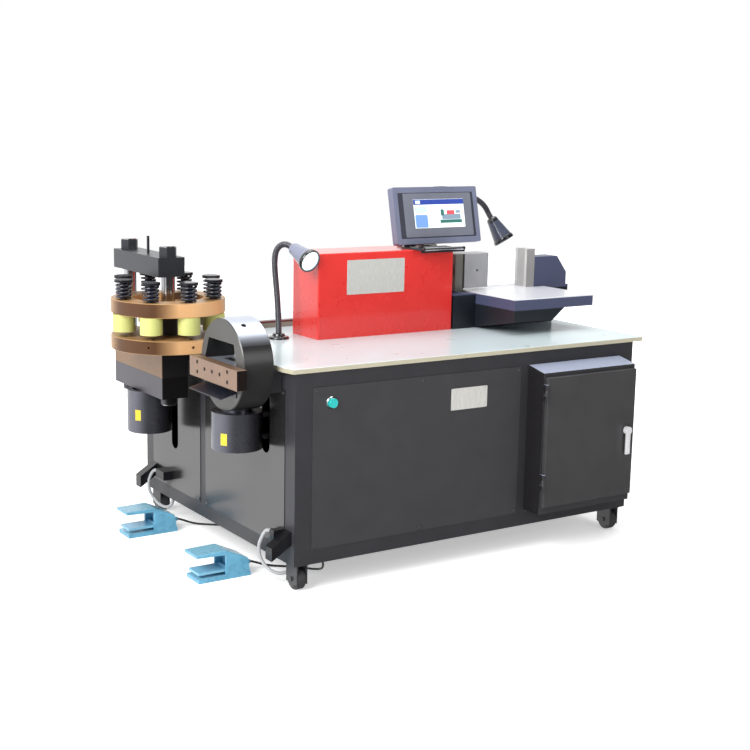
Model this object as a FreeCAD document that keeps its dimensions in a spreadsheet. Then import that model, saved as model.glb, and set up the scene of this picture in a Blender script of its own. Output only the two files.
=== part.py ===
import FreeCAD, Part
import math
import os
import re
import Sketcher
from FreeCAD import Placement, Rotation, Vector

doc = FreeCAD.newDocument("BusbarMachine")
sheet = doc.addObject("Spreadsheet::Sheet", "Sizes")
probe = doc.addObject("Part::Vertex", "Probe")
named = {}
nodes = {}
cords = set()


# Named sizes in the sheet, in millimetres, degrees and counts
def sizes(heading, **values):
    row = len(named) + len(headings) + 1
    headings.append(heading)
    sheet.set(f"A{row}", heading)
    for name, value in values.items():
        row += 1
        sheet.set(f"A{row}", name)
        sheet.set(f"B{row}", str(value))
        sheet.setAlias(f"B{row}", name)
        named[name] = value
    sheet.recompute()


headings = []


# A formula in plain names, tied to the sheet
def tied(formula):
    return re.sub(r"[a-z][a-z_]*", lambda word: as_cell(word.group()), formula)


def as_cell(word):
    return "Sizes." + word if word in named else word


# The number that a formula gives now
def number(formula):
    probe.setExpression("X", tied(formula))
    probe.recompute()
    return probe.X.Value


def point(x, y, z):
    return Vector(number(x), number(y), number(z))


def bind(thing, **formulas):
    for prop, formula in formulas.items():
        thing.setExpression(prop, tied(formula))
    return thing


def put(thing, x, y, z, turn=None):
    if turn:
        thing.Placement = Placement(Vector(), turn)
    for axis, formula in zip("xyz", (x, y, z)):
        thing.setExpression("Placement.Base." + axis, tied(formula))
    return thing


ALONG = {
    "x": Rotation(Vector(0, 1, 0), 90),
    "y": Rotation(Vector(1, 0, 0), -90),
    "z": Rotation(),
}


# A block from its two limits on each axis
def block(x, y, z):
    made = doc.addObject("Part::Box", "Block")
    bind(made, Length=f"({x[1]})-({x[0]})", Width=f"({y[1]})-({y[0]})")
    bind(made, Height=f"({z[1]})-({z[0]})")
    return put(made, x[0], y[0], z[0])


# A round bar along an axis, from its start point
def rod(axis, x, y, z, radius, length):
    made = doc.addObject("Part::Cylinder", "Rod")
    bind(made, Radius=radius, Height=length)
    return put(made, x, y, z, ALONG[axis])


def cone(axis, x, y, z, first, last, length):
    made = doc.addObject("Part::Cone", "Cone")
    bind(made, Radius1=first, Radius2=last, Height=length)
    return put(made, x, y, z, ALONG[axis])


def prism(x, y, z, radius, length, sides):
    made = doc.addObject("Part::Prism", "Prism")
    made.Polygon = sides
    bind(made, Circumradius=radius, Height=length)
    return put(made, x, y, z)


def group(pieces):
    made = doc.addObject("Part::Compound", "Group")
    made.Links = pieces
    return made


def fuse(*pieces):
    if len(pieces) == 1:
        return pieces[0]
    made = doc.addObject("Part::MultiFuse", "Joined")
    made.Shapes = list(pieces)
    made.Refine = True
    return made


def cut(base, *tools):
    made = doc.addObject("Part::Cut", "Cut")
    made.Base = base
    made.Tool = fuse(*tools)
    made.Refine = True
    return made


def common(*pieces):
    made = doc.addObject("Part::MultiCommon", "Shared")
    made.Shapes = list(pieces)
    return made


# A piece parted into solids that touch, each of which keeps clear of the gaps beside it
def parted(piece, *spans):
    return group([common(piece, block(*span)) for span in spans])


# Rounds or bevels the edges that a test picks
def edged(base, size, picks, kind="Part::Fillet"):
    doc.recompute()
    made = doc.addObject(kind, "Edged")
    made.Base = base
    width = number(size)
    edges = enumerate(base.Shape.Edges, 1)
    made.Edges = [(place, width, width) for place, edge in edges if picks(edge)]
    return made


def runs_along(axis):
    def test(edge):
        if edge.Curve.TypeId != "Part::GeomLine":
            return False
        return abs(edge.Curve.Direction.dot(axis)) > 1 - parallel_share

    return test


parallel_share = 0.001
UP = Vector(0, 0, 1)
AHEAD = Vector(0, 1, 0)
SIDEWAYS = Vector(1, 0, 0)


# A flat outline in the plane of two axes, thickened along the third from its start
def plate(plane, points, start, depth):
    turns = {
        "xy": Rotation(),
        "xz": Rotation(Vector(1, 0, 0), 90),
        "yz": Rotation(Vector(1, 1, 1), 120),
    }
    values = [(number(u), number(v)) for u, v in points]
    low_u = points[min(range(len(values)), key=lambda i: values[i][0])][0]
    low_v = points[min(range(len(values)), key=lambda i: values[i][1])][1]
    least = (number(low_u), number(low_v))
    body = doc.addObject("PartDesign::Body", "Plate")
    outline = body.newObject("Sketcher::SketchObject", "Outline")
    base = [f for f in body.Origin.OriginFeatures if f.Role == "XY_Plane"][0]
    outline.AttachmentSupport = [(base, "")]
    outline.MapMode = "FlatFace"
    places = [Vector(u - least[0], v - least[1], 0) for u, v in values]
    count = len(places)
    for i in range(count):
        outline.addGeometry(Part.LineSegment(places[i], places[(i + 1) % count]), False)
    for i in range(count):
        outline.addConstraint(Sketcher.Constraint("Coincident", i, 2, (i + 1) % count, 1))
    for i, (u, v) in enumerate(points):
        hold(outline, i, "X", places[i].x, f"({u})-({low_u})")
        hold(outline, i, "Y", places[i].y, f"({v})-({low_v})")
    pad = body.newObject("PartDesign::Pad", "Thickness")
    pad.Profile = outline
    bind(pad, Length=depth)
    if plane == "xz":
        return put(body, low_u, f"({start})+({depth})", low_v, turns[plane])
    if plane == "yz":
        return put(body, start, low_u, low_v, turns[plane])
    return put(body, low_u, low_v, start, turns[plane])


# Ties one coordinate of an outline's point, or rests it on the axis where it is zero
def hold(outline, place, axis, value, formula):
    if value == 0:
        rest = -2 if axis == "X" else -1
        outline.addConstraint(Sketcher.Constraint("PointOnObject", place, 1, rest))
        return
    mark = outline.addConstraint(Sketcher.Constraint("Distance" + axis, -1, 1, place, 1, value))
    outline.setExpression(f"Constraints[{mark}]", tied(formula))


# A square tube ring: a frame of the given width inside four limits
def ring(x, y, z, width, normal):
    spans = {"x": x, "y": y, "z": z}
    inner = {}
    for axis, (low, high) in spans.items():
        if axis == normal:
            inner[axis] = (f"{low}-overrun", f"{high}+overrun")
        else:
            inner[axis] = (f"{low}+{width}", f"{high}-{width}")
    return cut(block(x, y, z), block(inner["x"], inner["y"], inner["z"]))


# Takes a finished shape as one named piece of the machine
def node(thing, label):
    thing.Label = label
    nodes[label] = thing
    return thing


def shaped(label, shape):
    made = doc.addObject("Part::Feature", "Shaped")
    made.Shape = shape
    return node(made, label)


# A coil spring's wire about +Z from its lowest turn, on quarter-turn arcs
def coil(centre, radius, pitch, turns, wire):
    quarter = math.pi / 2
    steps = int(turns * 4)

    def on_coil(step):
        angle = quarter * step
        lift = pitch * step / 4
        return centre + Vector(radius * math.cos(angle), radius * math.sin(angle), lift)

    edges = []
    for step in range(steps):
        arc = Part.Arc(on_coil(step), on_coil(step + 0.5), on_coil(step + 1))
        edges.append(arc.toShape())
    path = Part.Wire(edges)
    first = edges[0]
    heading = first.tangentAt(first.FirstParameter)
    section = Part.Wire(Part.makeCircle(wire / 2, on_coil(0), heading))
    return path.makePipeShell([section], True, False), path.Length


# A cord's tube: straight runs joined by arcs as large as the runs allow
def tube(name, points, radius):
    runs = [b - a for a, b in zip(points, points[1:])]
    edges = []
    radii = []
    last = points[0]
    for i in range(1, len(points) - 1):
        before = Vector(runs[i - 1]).normalize()
        after = Vector(runs[i]).normalize()
        turn = math.acos(max(-1, min(1, before.dot(after))))
        back = arc_share * min(runs[i - 1].Length, runs[i].Length)
        bend = back / math.tan(turn / 2)
        radii.append(bend)
        start = points[i] - before * back
        end = points[i] + after * back
        inward = (after - before).normalize()
        middle = points[i] + inward * (bend / math.cos(turn / 2) - bend)
        edges.append(Part.LineSegment(last, start).toShape())
        edges.append(Part.Arc(start, middle, end).toShape())
        last = end
    edges.append(Part.LineSegment(last, points[-1]).toShape())
    path = Part.Wire(edges)
    section = Part.Wire(Part.makeCircle(radius, points[0], runs[0]))
    made = path.makePipeShell([section], True, False)
    wanted = math.pi * radius**2 * path.Length
    least = min(radii)
    print(f"{name}: length {path.Length:.0f}, least radius {least:.0f}, volume share {made.Volume / wanted:.4f}")
    print(f"{name} radii:", " ".join(f"{bend:.0f}" for bend in radii))
    return made


arc_share = 0.45

sizes(
    "Common",
    overrun=2,
    running_gap=0.1,
    rest_gap=0.3,
    edge_round=3,
    small_round=1.5,
)

# Cabinet: welded square-tube frame on four casters, closed with sheet panels
sizes(
    "Cabinet",
    cabinet_length=1500,
    cabinet_depth=1190,
    worktop_top=770,
    worktop_thickness=16,
    worktop_left=22,
    worktop_right=46,
    worktop_lip=4,
    corner_cut_x=12,
    corner_cut_y=50,
    floor_gap=96,
    rail=50,
    post=64,
    tube_wall=4,
    end_rail_drop=12,
    mullion_start=950,
    mullion_width=33,
    mid_post_start=660,
    mid_post_width=40,
    stop_width=20,
    stop_thickness=3,
    panel_sheet=2,
    panel_margin=2,
    floor_sheet=4,
)
sizes(
    "Hose slots in the left end panels",
    slot_width=56,
    rear_slot_y=922,
    rear_slot_bottom=309,
    rear_slot_top=559,
    front_slot_y=197,
    front_slot_bottom=450,
    front_slot_top=660,
)
LENGTH = "cabinet_length"
DEPTH = "cabinet_depth"
FRAME_TOP = "worktop_top-worktop_thickness"
LOW_RAIL = "floor_gap+rail"
HIGH_RAIL = f"{FRAME_TOP}-rail"
END_TOP = f"{FRAME_TOP}-end_rail_drop"
END_RAIL = f"{END_TOP}-rail"


def base_frame():
    near = ("0", "rail")
    far = (f"{DEPTH}-rail", DEPTH)
    left = ("0", "rail")
    right = (f"{LENGTH}-rail", LENGTH)
    low = ("floor_gap", LOW_RAIL)
    high = (HIGH_RAIL, FRAME_TOP)
    across = ("0", LENGTH)
    back = ("0", DEPTH)
    tubes = [block(across, side, level) for side in (near, far) for level in (low, high)]
    tubes.append(block(left, back, low))
    tubes.append(block(left, back, (END_RAIL, END_TOP)))
    tubes.append(block(right, back, low))
    tubes.append(block(right, back, high))
    corners = [(x, y) for x in ("0", f"{LENGTH}-post") for y in ("0", f"{DEPTH}-post")]
    for x, y in corners:
        tubes.append(block((x, f"{x}+post"), (y, f"{y}+post"), ("floor_gap", FRAME_TOP)))
    mullion = ("mullion_start", "mullion_start+mullion_width")
    tubes.append(block(mullion, near, ("floor_gap", FRAME_TOP)))
    middle = ("mid_post_start", "mid_post_start+mid_post_width")
    tubes.append(block(left, middle, ("floor_gap", END_TOP)))
    floor = block(across, back, ("floor_gap", "floor_gap+floor_sheet"))
    stops = front_stops() + end_stops() + rear_stops()
    bores = []
    wall = "tube_wall"
    for x, y in corners:
        bores.append(
            block(
                (f"{x}+{wall}", f"{x}+post-{wall}"),
                (f"{y}+{wall}", f"{y}+post-{wall}"),
                ("floor_gap+floor_sheet", f"{FRAME_TOP}-{wall}"),
            )
        )
    inside_x = ("post-tube_wall", f"{LENGTH}-post+tube_wall")
    inside_y = ("post-tube_wall", f"{DEPTH}-post+tube_wall")
    for side in (near, far):
        for level in (low, high):
            bores.append(block(inside_x, narrowed(side), narrowed(level)))
    for level in (low, (END_RAIL, END_TOP)):
        bores.append(block(narrowed(left), inside_y, narrowed(level)))
    for level in (low, high):
        bores.append(block(narrowed(right), inside_y, narrowed(level)))
    welded = cut(fuse(*tubes, floor, *stops), *bores)
    sheet_top = "floor_gap+floor_sheet"
    above = (sheet_top, FRAME_TOP)
    ends = ("post", f"{LENGTH}-post")
    spans = [
        (across, back, ("floor_gap", sheet_top)),
        (("0", ends[0]), back, above),
        (ends, back, above),
        ((ends[1], LENGTH), back, above),
    ]
    return node(parted(welded, *spans), "base_frame")


def narrowed(span):
    return (f"{span[0]}+tube_wall", f"{span[1]}-tube_wall")


FRONT_BAYS = [
    ("post", "mullion_start"),
    ("mullion_start+mullion_width", f"{LENGTH}-post"),
]
END_BAYS = [
    ("post", "mid_post_start"),
    ("mid_post_start+mid_post_width", f"{DEPTH}-post"),
]


def front_stops():
    span = (LOW_RAIL, HIGH_RAIL)
    return [ring(bay, ("0", "stop_thickness"), span, "stop_width", "y") for bay in FRONT_BAYS]


def end_stops():
    left = ("0", "stop_thickness")
    right = (f"{LENGTH}-stop_thickness", LENGTH)
    stops = [ring(left, bay, (LOW_RAIL, END_RAIL), "stop_width", "x") for bay in END_BAYS]
    whole = ("post", f"{DEPTH}-post")
    return stops + [ring(right, whole, (LOW_RAIL, HIGH_RAIL), "stop_width", "x")]


def rear_stops():
    span = ("post", f"{LENGTH}-post")
    thick = (f"{DEPTH}-stop_thickness", DEPTH)
    return [ring(span, thick, (LOW_RAIL, HIGH_RAIL), "stop_width", "y")]


def inset(span):
    return (f"{span[0]}+panel_margin", f"{span[1]}-panel_margin")


PANEL_Z = inset((LOW_RAIL, HIGH_RAIL))
END_PANEL_Z = inset((LOW_RAIL, END_RAIL))

sizes(
    "Start button on the front panel",
    button_x=138,
    button_z=647,
    button_radius=16.5,
    button_height=11,
    button_travel=4,
    button_stem_radius=8,
    button_stem_length=30,
)


def front_panels():
    sheets = [block(inset(bay), ("-panel_sheet", "0"), PANEL_Z) for bay in FRONT_BAYS]
    hole = rod("y", "button_x", "-panel_sheet-overrun", "button_z", "button_stem_radius+running_gap", "panel_sheet+2*overrun")
    sheets[0] = cut(sheets[0], hole)
    return node(group(sheets), "front_panels")


def slot(y, bottom, top):
    radius = "slot_width/2"
    thick = "panel_sheet+2*overrun"
    start = "-panel_sheet-overrun"
    ends = [rod("x", start, y, z, radius, thick) for z in (f"{bottom}+{radius}", f"{top}-{radius}")]
    middle = block(
        (start, "overrun"),
        (f"{y}-{radius}", f"{y}+{radius}"),
        (f"{bottom}+{radius}", f"{top}-{radius}"),
    )
    return fuse(middle, *ends)


def end_panels():
    thick = ("-panel_sheet", "0")
    near, far = [block(thick, inset(bay), END_PANEL_Z) for bay in END_BAYS]
    near = cut(near, slot("front_slot_y", "front_slot_bottom", "front_slot_top"))
    far = cut(far, slot("rear_slot_y", "rear_slot_bottom", "rear_slot_top"))
    whole = inset(("post", f"{DEPTH}-post"))
    right = block((LENGTH, f"{LENGTH}+panel_sheet"), whole, PANEL_Z)
    return node(group([near, far, right]), "end_panels")


def rear_panel():
    span = inset(("post", f"{LENGTH}-post"))
    return node(block(span, (DEPTH, f"{DEPTH}+panel_sheet"), PANEL_Z), "rear_panel")


sizes(
    "Panel screws",
    screw_radius=4.5,
    screw_height=2.5,
    screw_inset=12,
    front_screws=3,
    side_screws=2,
)


# Button-head screws along the upper and lower edge of each panel
def panel_screws():
    heads = []

    def shares(count):
        return [i / (count - 1) for i in range(count)]

    def spread(span, share):
        low, high = inset(span)
        return f"({low}+screw_inset)*{1 - share}+({high}-screw_inset)*{share}"

    front_rows = (f"{PANEL_Z[0]}+screw_inset", f"{PANEL_Z[1]}-screw_inset")
    for bay in FRONT_BAYS[:1]:
        for share in shares(named["front_screws"]):
            for z in front_rows:
                x = spread(bay, share)
                heads.append(rod("y", x, "-panel_sheet-screw_height", z, "screw_radius", "screw_height"))
    end_rows = (f"{END_PANEL_Z[0]}+screw_inset", f"{END_PANEL_Z[1]}-screw_inset")
    for bay in END_BAYS:
        for share in shares(named["side_screws"]):
            for z in end_rows:
                y = spread(bay, share)
                heads.append(rod("x", "-panel_sheet-screw_height", y, z, "screw_radius", "screw_height"))
    whole = ("post", f"{DEPTH}-post")
    for share in shares(named["front_screws"]):
        for z in front_rows:
            y = spread(whole, share)
            heads.append(rod("x", f"{LENGTH}+panel_sheet", y, z, "screw_radius", "screw_height"))
    rear = ("post", f"{LENGTH}-post")
    for share in shares(named["front_screws"]):
        for z in front_rows:
            x = spread(rear, share)
            heads.append(rod("y", x, f"{DEPTH}+panel_sheet", z, "screw_radius", "screw_height"))
    return node(group(heads), "panel_screws")


def start_button():
    face = "-panel_sheet-button_travel-rest_gap"
    cap = rod("y", "button_x", f"{face}-button_height", "button_z", "button_radius", "button_height")
    cap = edged(cap, "small_round", lambda edge: edge.CenterOfMass.y < number(f"{face}-button_height") + 1)
    stem = rod("y", "button_x", face, "button_z", "button_stem_radius", "button_stem_length")
    return node(fuse(cap, stem), "start_button")


# Turret punch: a turning pair of discs under a crosshead that a moving cylinder pulls down
sizes(
    "Turret",
    turret_x=-115,
    turret_y=727,
    turret_radius=206,
    upper_disc_bottom=878,
    upper_disc_thickness=51,
    lower_disc_bottom=748,
    lower_disc_thickness=49,
    recess_radius=128,
    recess_depth=25,
    spindle_radius=50,
    hub_wall=10,
    stations=8,
    notch_gap=10,
    index_hole_radius=5,
    index_hole_depth=14,
    disc_bevel=2,
)
sizes(
    "Punch press",
    rod_spacing=345,
    rod_radius=25,
    crosshead_width=104,
    crosshead_bottom=1004,
    crosshead_height=70,
    crosshead_end=32,
    nut_across_corners=68,
    nut_height=36,
    rod_head=4,
    indicator_radius=5,
    indicator_top=1136,
    die_block_height=107,
    die_block_front=55,
    yoke_height=79,
    lower_nut_radius=30,
    lower_nut_height=28,
    punch_stroke=25,
    cylinder_radius=84,
    cylinder_height=160,
    cylinder_bore=65,
    cylinder_floor=15,
    piston_rod_radius=30,
    piston_height=30,
    piston_rod_reach=160,
)
sizes(
    "Punches, springs and sleeves",
    punch_radius=14,
    punch_tip=818,
    punch_head_radius=33,
    punch_head_height=10,
    punch_head_gap=3,
    sleeve_radius=40,
    sleeve_height=62,
    spring_radius=25.5,
    spring_wire=8.6,
    spring_turns=4,
    flute_step=6,
)
OX = "turret_x"
OY = "turret_y"
STATION_RADIUS = "rod_spacing/2"
DIE_TOP = "lower_disc_bottom-rest_gap"
DIE_BOTTOM = "lower_disc_bottom-die_block_height"
YOKE_TOP = f"{DIE_BOTTOM}-rest_gap"
YOKE_BOTTOM = f"{YOKE_TOP}-yoke_height"
CROSS_X = (f"{OX}-crosshead_width/2", f"{OX}+crosshead_width/2")
CROSS_Y = (f"{OY}-crosshead_end", f"{OY}+rod_spacing+crosshead_end")
BLOCK_Y = (f"{OY}-die_block_front", f"{OY}+rod_spacing+crosshead_end")
CROSS_TOP = "crosshead_bottom+crosshead_height"
REAR_Y = f"{OY}+rod_spacing"
ACTIVE_Y = f"{OY}+{STATION_RADIUS}"
DISC_TOP = "upper_disc_bottom+upper_disc_thickness"
LOWER_TOP = "lower_disc_bottom+lower_disc_thickness"
HEAD_TOP = "crosshead_bottom-punch_head_gap"
BORE = "rod_radius+running_gap"
STROKE_FLOOR = f"{YOKE_BOTTOM}-cylinder_height"


def station_angle(index):
    return f"90+{index}*360/stations"


def station(index):
    angle = f"({station_angle(index)})*1deg"
    x = f"{OX}+{STATION_RADIUS}*cos({angle})"
    y = f"{OY}+{STATION_RADIUS}*sin({angle})"
    return x, y


def worktop():
    ends = ("-worktop_left", f"{LENGTH}+worktop_right")
    front = "-worktop_lip"
    back = f"{DEPTH}+worktop_lip"
    outline = [
        (f"{ends[0]}+corner_cut_x", front),
        (ends[1], front),
        (ends[1], back),
        (ends[0], back),
        (ends[0], f"{front}+corner_cut_y"),
    ]
    slab = plate("xy", outline, FRAME_TOP, "worktop_thickness")
    notch = rod("z", OX, OY, f"{FRAME_TOP}-overrun", "turret_radius+notch_gap", "worktop_thickness+2*overrun")
    made = cut(slab, notch)
    top = number("worktop_top")
    inset_x = number("-worktop_left") + number("edge_round")

    def picks(edge):
        on_top = edge.BoundBox.ZMin > top - number("overrun") / 4
        return on_top and edge.BoundBox.XMax > inset_x

    return node(edged(made, "edge_round", picks), "worktop")


def turret_discs():
    lower = rod("z", OX, OY, "lower_disc_bottom", "turret_radius", "lower_disc_thickness")
    upper = rod("z", OX, OY, "upper_disc_bottom", "turret_radius", "upper_disc_thickness")
    hub = rod("z", OX, OY, "lower_disc_bottom", "spindle_radius+running_gap+hub_wall", f"{DISC_TOP}-recess_depth-lower_disc_bottom")
    bore = rod("z", OX, OY, "lower_disc_bottom-overrun", "spindle_radius+running_gap", f"{DISC_TOP}-lower_disc_bottom+2*overrun")
    recess = rod("z", OX, OY, f"{DISC_TOP}-recess_depth", "recess_radius", "recess_depth+overrun")
    tools = [bore, recess]
    for index in range(named["stations"]):
        x, y = station(index)
        tools.append(rod("z", x, y, "lower_disc_bottom-overrun", "punch_radius+running_gap", f"{DISC_TOP}-lower_disc_bottom+2*overrun"))
        tools.append(index_hole(index))
    made = cut(fuse(lower, upper, hub), *tools)
    rim = number("turret_radius")

    def picks(edge):
        return edge.Curve.TypeId == "Part::GeomCircle" and abs(edge.Curve.Radius - rim) < number("overrun") / 4

    return node(edged(made, "disc_bevel", picks, "Part::Chamfer"), "turret_discs")


# A blind hole in the lower rim for the index plunger, one at each station
def index_hole(index):
    made = doc.addObject("Part::Cylinder", "IndexHole")
    bind(made, Radius="index_hole_radius", Height="index_hole_depth+overrun")
    heading = number(station_angle(index))
    turn = Rotation(UP, heading).multiply(ALONG["x"])
    reach = "(turret_radius-index_hole_depth)"
    angle = f"({station_angle(index)})*1deg"
    level = "lower_disc_bottom+lower_disc_thickness/2"
    return put(made, f"{OX}+{reach}*cos({angle})", f"{OY}+{reach}*sin({angle})", level, turn)


def stripper_sleeves():
    sleeves = []
    for index in range(named["stations"]):
        x, y = station(index)
        bottom = "upper_disc_bottom-sleeve_height"
        outer = rod("z", x, y, bottom, "sleeve_radius", "sleeve_height")
        bore = rod("z", x, y, f"{bottom}-overrun", "punch_radius+running_gap", "sleeve_height+2*overrun")
        sleeves.append(cut(outer, bore))
    return node(group(sleeves), "stripper_sleeves")


def one_punch(index):
    x, y = station(index)
    head = rod("z", x, y, f"{HEAD_TOP}-punch_head_height", "punch_head_radius", "punch_head_height")
    top = number(HEAD_TOP)
    head = edged(head, "small_round", lambda edge: edge.CenterOfMass.z > top - 1)
    shank = rod("z", x, y, "punch_tip", "punch_radius", f"{HEAD_TOP}-punch_head_height-punch_tip")
    return fuse(head, shank)


def punches():
    return node(group([one_punch(index) for index in range(1, named["stations"])]), "punches")


def active_punch():
    return node(one_punch(0), "active_punch")


def one_spring(index):
    x, y = station(index)
    wire = number("spring_wire")
    turns = number("spring_turns")
    room = number(f"{HEAD_TOP}-punch_head_height") - number(DISC_TOP)
    clear = number("rest_gap")
    pitch = (room - wire - 2 * clear) / turns
    start = point(x, y, f"{DISC_TOP}+spring_wire/2+rest_gap")
    made, length = coil(start, number("spring_radius"), pitch, turns, wire)
    return made, length, pitch


def springs():
    made = []
    for index in range(1, named["stations"]):
        made.append(one_spring(index)[0])
    shaped("punch_springs", Part.makeCompound(made))
    shape, length, pitch = one_spring(0)
    share = shape.Volume / (math.pi * (number("spring_wire") / 2) ** 2 * length)
    print(f"spring: pitch {pitch:.1f}, gap between turns {pitch - number('spring_wire'):.1f}, volume share {share:.4f}")
    shaped("active_spring", shape)


def crosshead():
    body = block(CROSS_X, CROSS_Y, ("crosshead_bottom", CROSS_TOP))
    body = edged(body, "edge_round", runs_along(UP))
    nut_x = [OX, OX]
    nut_y = [OY, REAR_Y]
    pieces = [body]
    bores = []
    for x, y in zip(nut_x, nut_y):
        pieces.append(prism(x, y, CROSS_TOP, "nut_across_corners/2", "nut_height", 6))
        bores.append(rod("z", x, y, "crosshead_bottom-overrun", BORE, f"{CROSS_TOP}+nut_height+2*overrun-crosshead_bottom"))
    pieces.append(rod("z", OX, ACTIVE_Y, CROSS_TOP, "indicator_radius", f"indicator_top-({CROSS_TOP})"))
    return node(cut(fuse(*pieces), *bores), "crosshead")


def tie_rods():
    bottom = f"{YOKE_BOTTOM}-lower_nut_height-rod_head"
    length = f"{CROSS_TOP}+nut_height+rod_head-({bottom})"
    rods = [rod("z", OX, y, bottom, "rod_radius", length) for y in (OY, REAR_Y)]
    return node(group(rods), "tie_rods")


def punch_yoke():
    body = block(CROSS_X, BLOCK_Y, (YOKE_BOTTOM, YOKE_TOP))
    body = edged(body, "edge_round", runs_along(UP))
    pieces = [body]
    bores = []
    for y in (OY, REAR_Y):
        pieces.append(rod("z", OX, y, f"{YOKE_BOTTOM}-lower_nut_height", "lower_nut_radius", "lower_nut_height"))
        bores.append(rod("z", OX, y, f"{YOKE_BOTTOM}-lower_nut_height-overrun", BORE, "yoke_height+lower_nut_height+2*overrun"))
    bores.append(rod("z", OX, ACTIVE_Y, f"{YOKE_BOTTOM}-overrun", "piston_rod_radius+running_gap", "yoke_height+2*overrun"))
    return node(cut(fuse(*pieces), *bores), "punch_yoke")


def punch_cylinder():
    body = rod("z", OX, ACTIVE_Y, STROKE_FLOOR, "cylinder_radius", "cylinder_height")
    low = number(STROKE_FLOOR)
    body = edged(body, "edge_round", lambda edge: edge.CenterOfMass.z < low + 1 and edge.Curve.TypeId == "Part::GeomCircle")
    bore = rod("z", OX, ACTIVE_Y, f"{STROKE_FLOOR}+cylinder_floor", "cylinder_bore", "cylinder_height-cylinder_floor+overrun")
    nut_clear = [
        rod("z", OX, y, f"{YOKE_BOTTOM}-lower_nut_height-overrun", "lower_nut_radius+rest_gap", "lower_nut_height+2*overrun")
        for y in (OY, REAR_Y)
    ]
    return node(cut(body, bore, *nut_clear), "punch_cylinder")


def punch_piston():
    bottom = f"{DIE_BOTTOM}-piston_rod_reach"
    bar = rod("z", OX, ACTIVE_Y, bottom, "piston_rod_radius", "piston_rod_reach")
    piston = rod("z", OX, ACTIVE_Y, bottom, "cylinder_bore-running_gap", "piston_height")
    return node(fuse(bar, piston), "punch_piston")


def die_block():
    body = block(CROSS_X, BLOCK_Y, (DIE_BOTTOM, DIE_TOP))
    body = edged(body, "edge_round", runs_along(UP))
    bores = [rod("z", OX, y, f"{DIE_BOTTOM}-overrun", BORE, "die_block_height+2*overrun") for y in (OY, REAR_Y)]
    return node(cut(body, *bores), "die_block")


def turret_spindle():
    top = f"{DISC_TOP}-recess_depth-2*rest_gap"
    outer = rod("z", OX, OY, DIE_TOP, "spindle_radius", f"{top}-({DIE_TOP})")
    bore = rod("z", OX, OY, f"{DIE_TOP}-overrun", BORE, f"{top}-({DIE_TOP})+2*overrun")
    return node(cut(outer, bore), "turret_spindle")


# Shear: a round steel head with a window, a blade that a cylinder pushes up, and a guide block
sizes(
    "Shear",
    shear_left=-158,
    shear_thickness=112,
    shear_y=215,
    shear_z=764,
    shear_radius=156,
    window_bottom=770,
    window_top=844,
    window_low_front=112,
    window_low_back=342,
    window_high_front=132,
    window_high_back=312,
    blade_slot_left=-110,
    blade_slot_width=30,
    blade_front=130,
    blade_back=300,
    blade_slot_bottom=650,
    blade_sink=2,
    blade_height=113,
    blade_stroke=45,
    blade_gap=0.6,
    upper_blade_width=20,
    upper_blade_edge=808,
    lifting_hole_x=-115,
    lifting_hole_lean=27,
    lifting_hole_radius=9,
    lifting_hole_depth=30,
    head_bevel=3,
)
sizes(
    "Shear cylinder",
    shear_cylinder_x=-102,
    shear_cylinder_radius=87,
    shear_cylinder_top=605,
    shear_cylinder_height=130,
    shear_cylinder_floor=15,
    shear_cylinder_cap=8,
    shear_bore=65,
    neck_radius=50,
    neck_rise=32,
    blade_rod_radius=20,
    blade_piston_lift=10,
    blade_piston_height=30,
    fitting_radius=11,
    fitting_reach=40,
    upper_fitting_z=596,
    lower_fitting_z=507,
)
sizes(
    "Guide block and chute",
    guide_width=36,
    guide_front=40,
    guide_back=386,
    guide_bottom=707,
    guide_height=67,
    guide_hole_radius=7,
    guide_hole_step=55,
    guide_hole_y=218,
    guide_hole_z=743,
    guide_hole_rise=17,
    chute_front=110,
    chute_back=340,
    chute_top=690,
    chute_drop=18,
    chute_reach=62,
    chute_sheet=3,
    chute_flange=20,
)
sizes(
    "Brackets that carry the punch and the shear on the frame",
    punch_bracket_front=720,
    punch_bracket_back=980,
    shear_bracket_front=90,
    shear_bracket_back=340,
    shear_bracket_bottom=678,
)
SHEAR_RIGHT = "shear_left+shear_thickness"
SLOT_RIGHT = "blade_slot_left+blade_slot_width"


def shear_disc():
    return rod("x", "shear_left", "shear_y", "shear_z", "shear_radius", "shear_thickness")


# The eye-bolt hole points out of the rim, leaning from the crown to the front
def lifting_hole():
    made = doc.addObject("Part::Cylinder", "LiftingHole")
    bind(made, Radius="lifting_hole_radius", Height="lifting_hole_depth+overrun")
    inner = "(shear_radius-lifting_hole_depth)"
    lean = "lifting_hole_lean*1deg"
    y = f"shear_y-{inner}*sin({lean})"
    z = f"shear_z+{inner}*cos({lean})"
    return put(made, "lifting_hole_x", y, z, Rotation(SIDEWAYS, number("lifting_hole_lean")))


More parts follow.
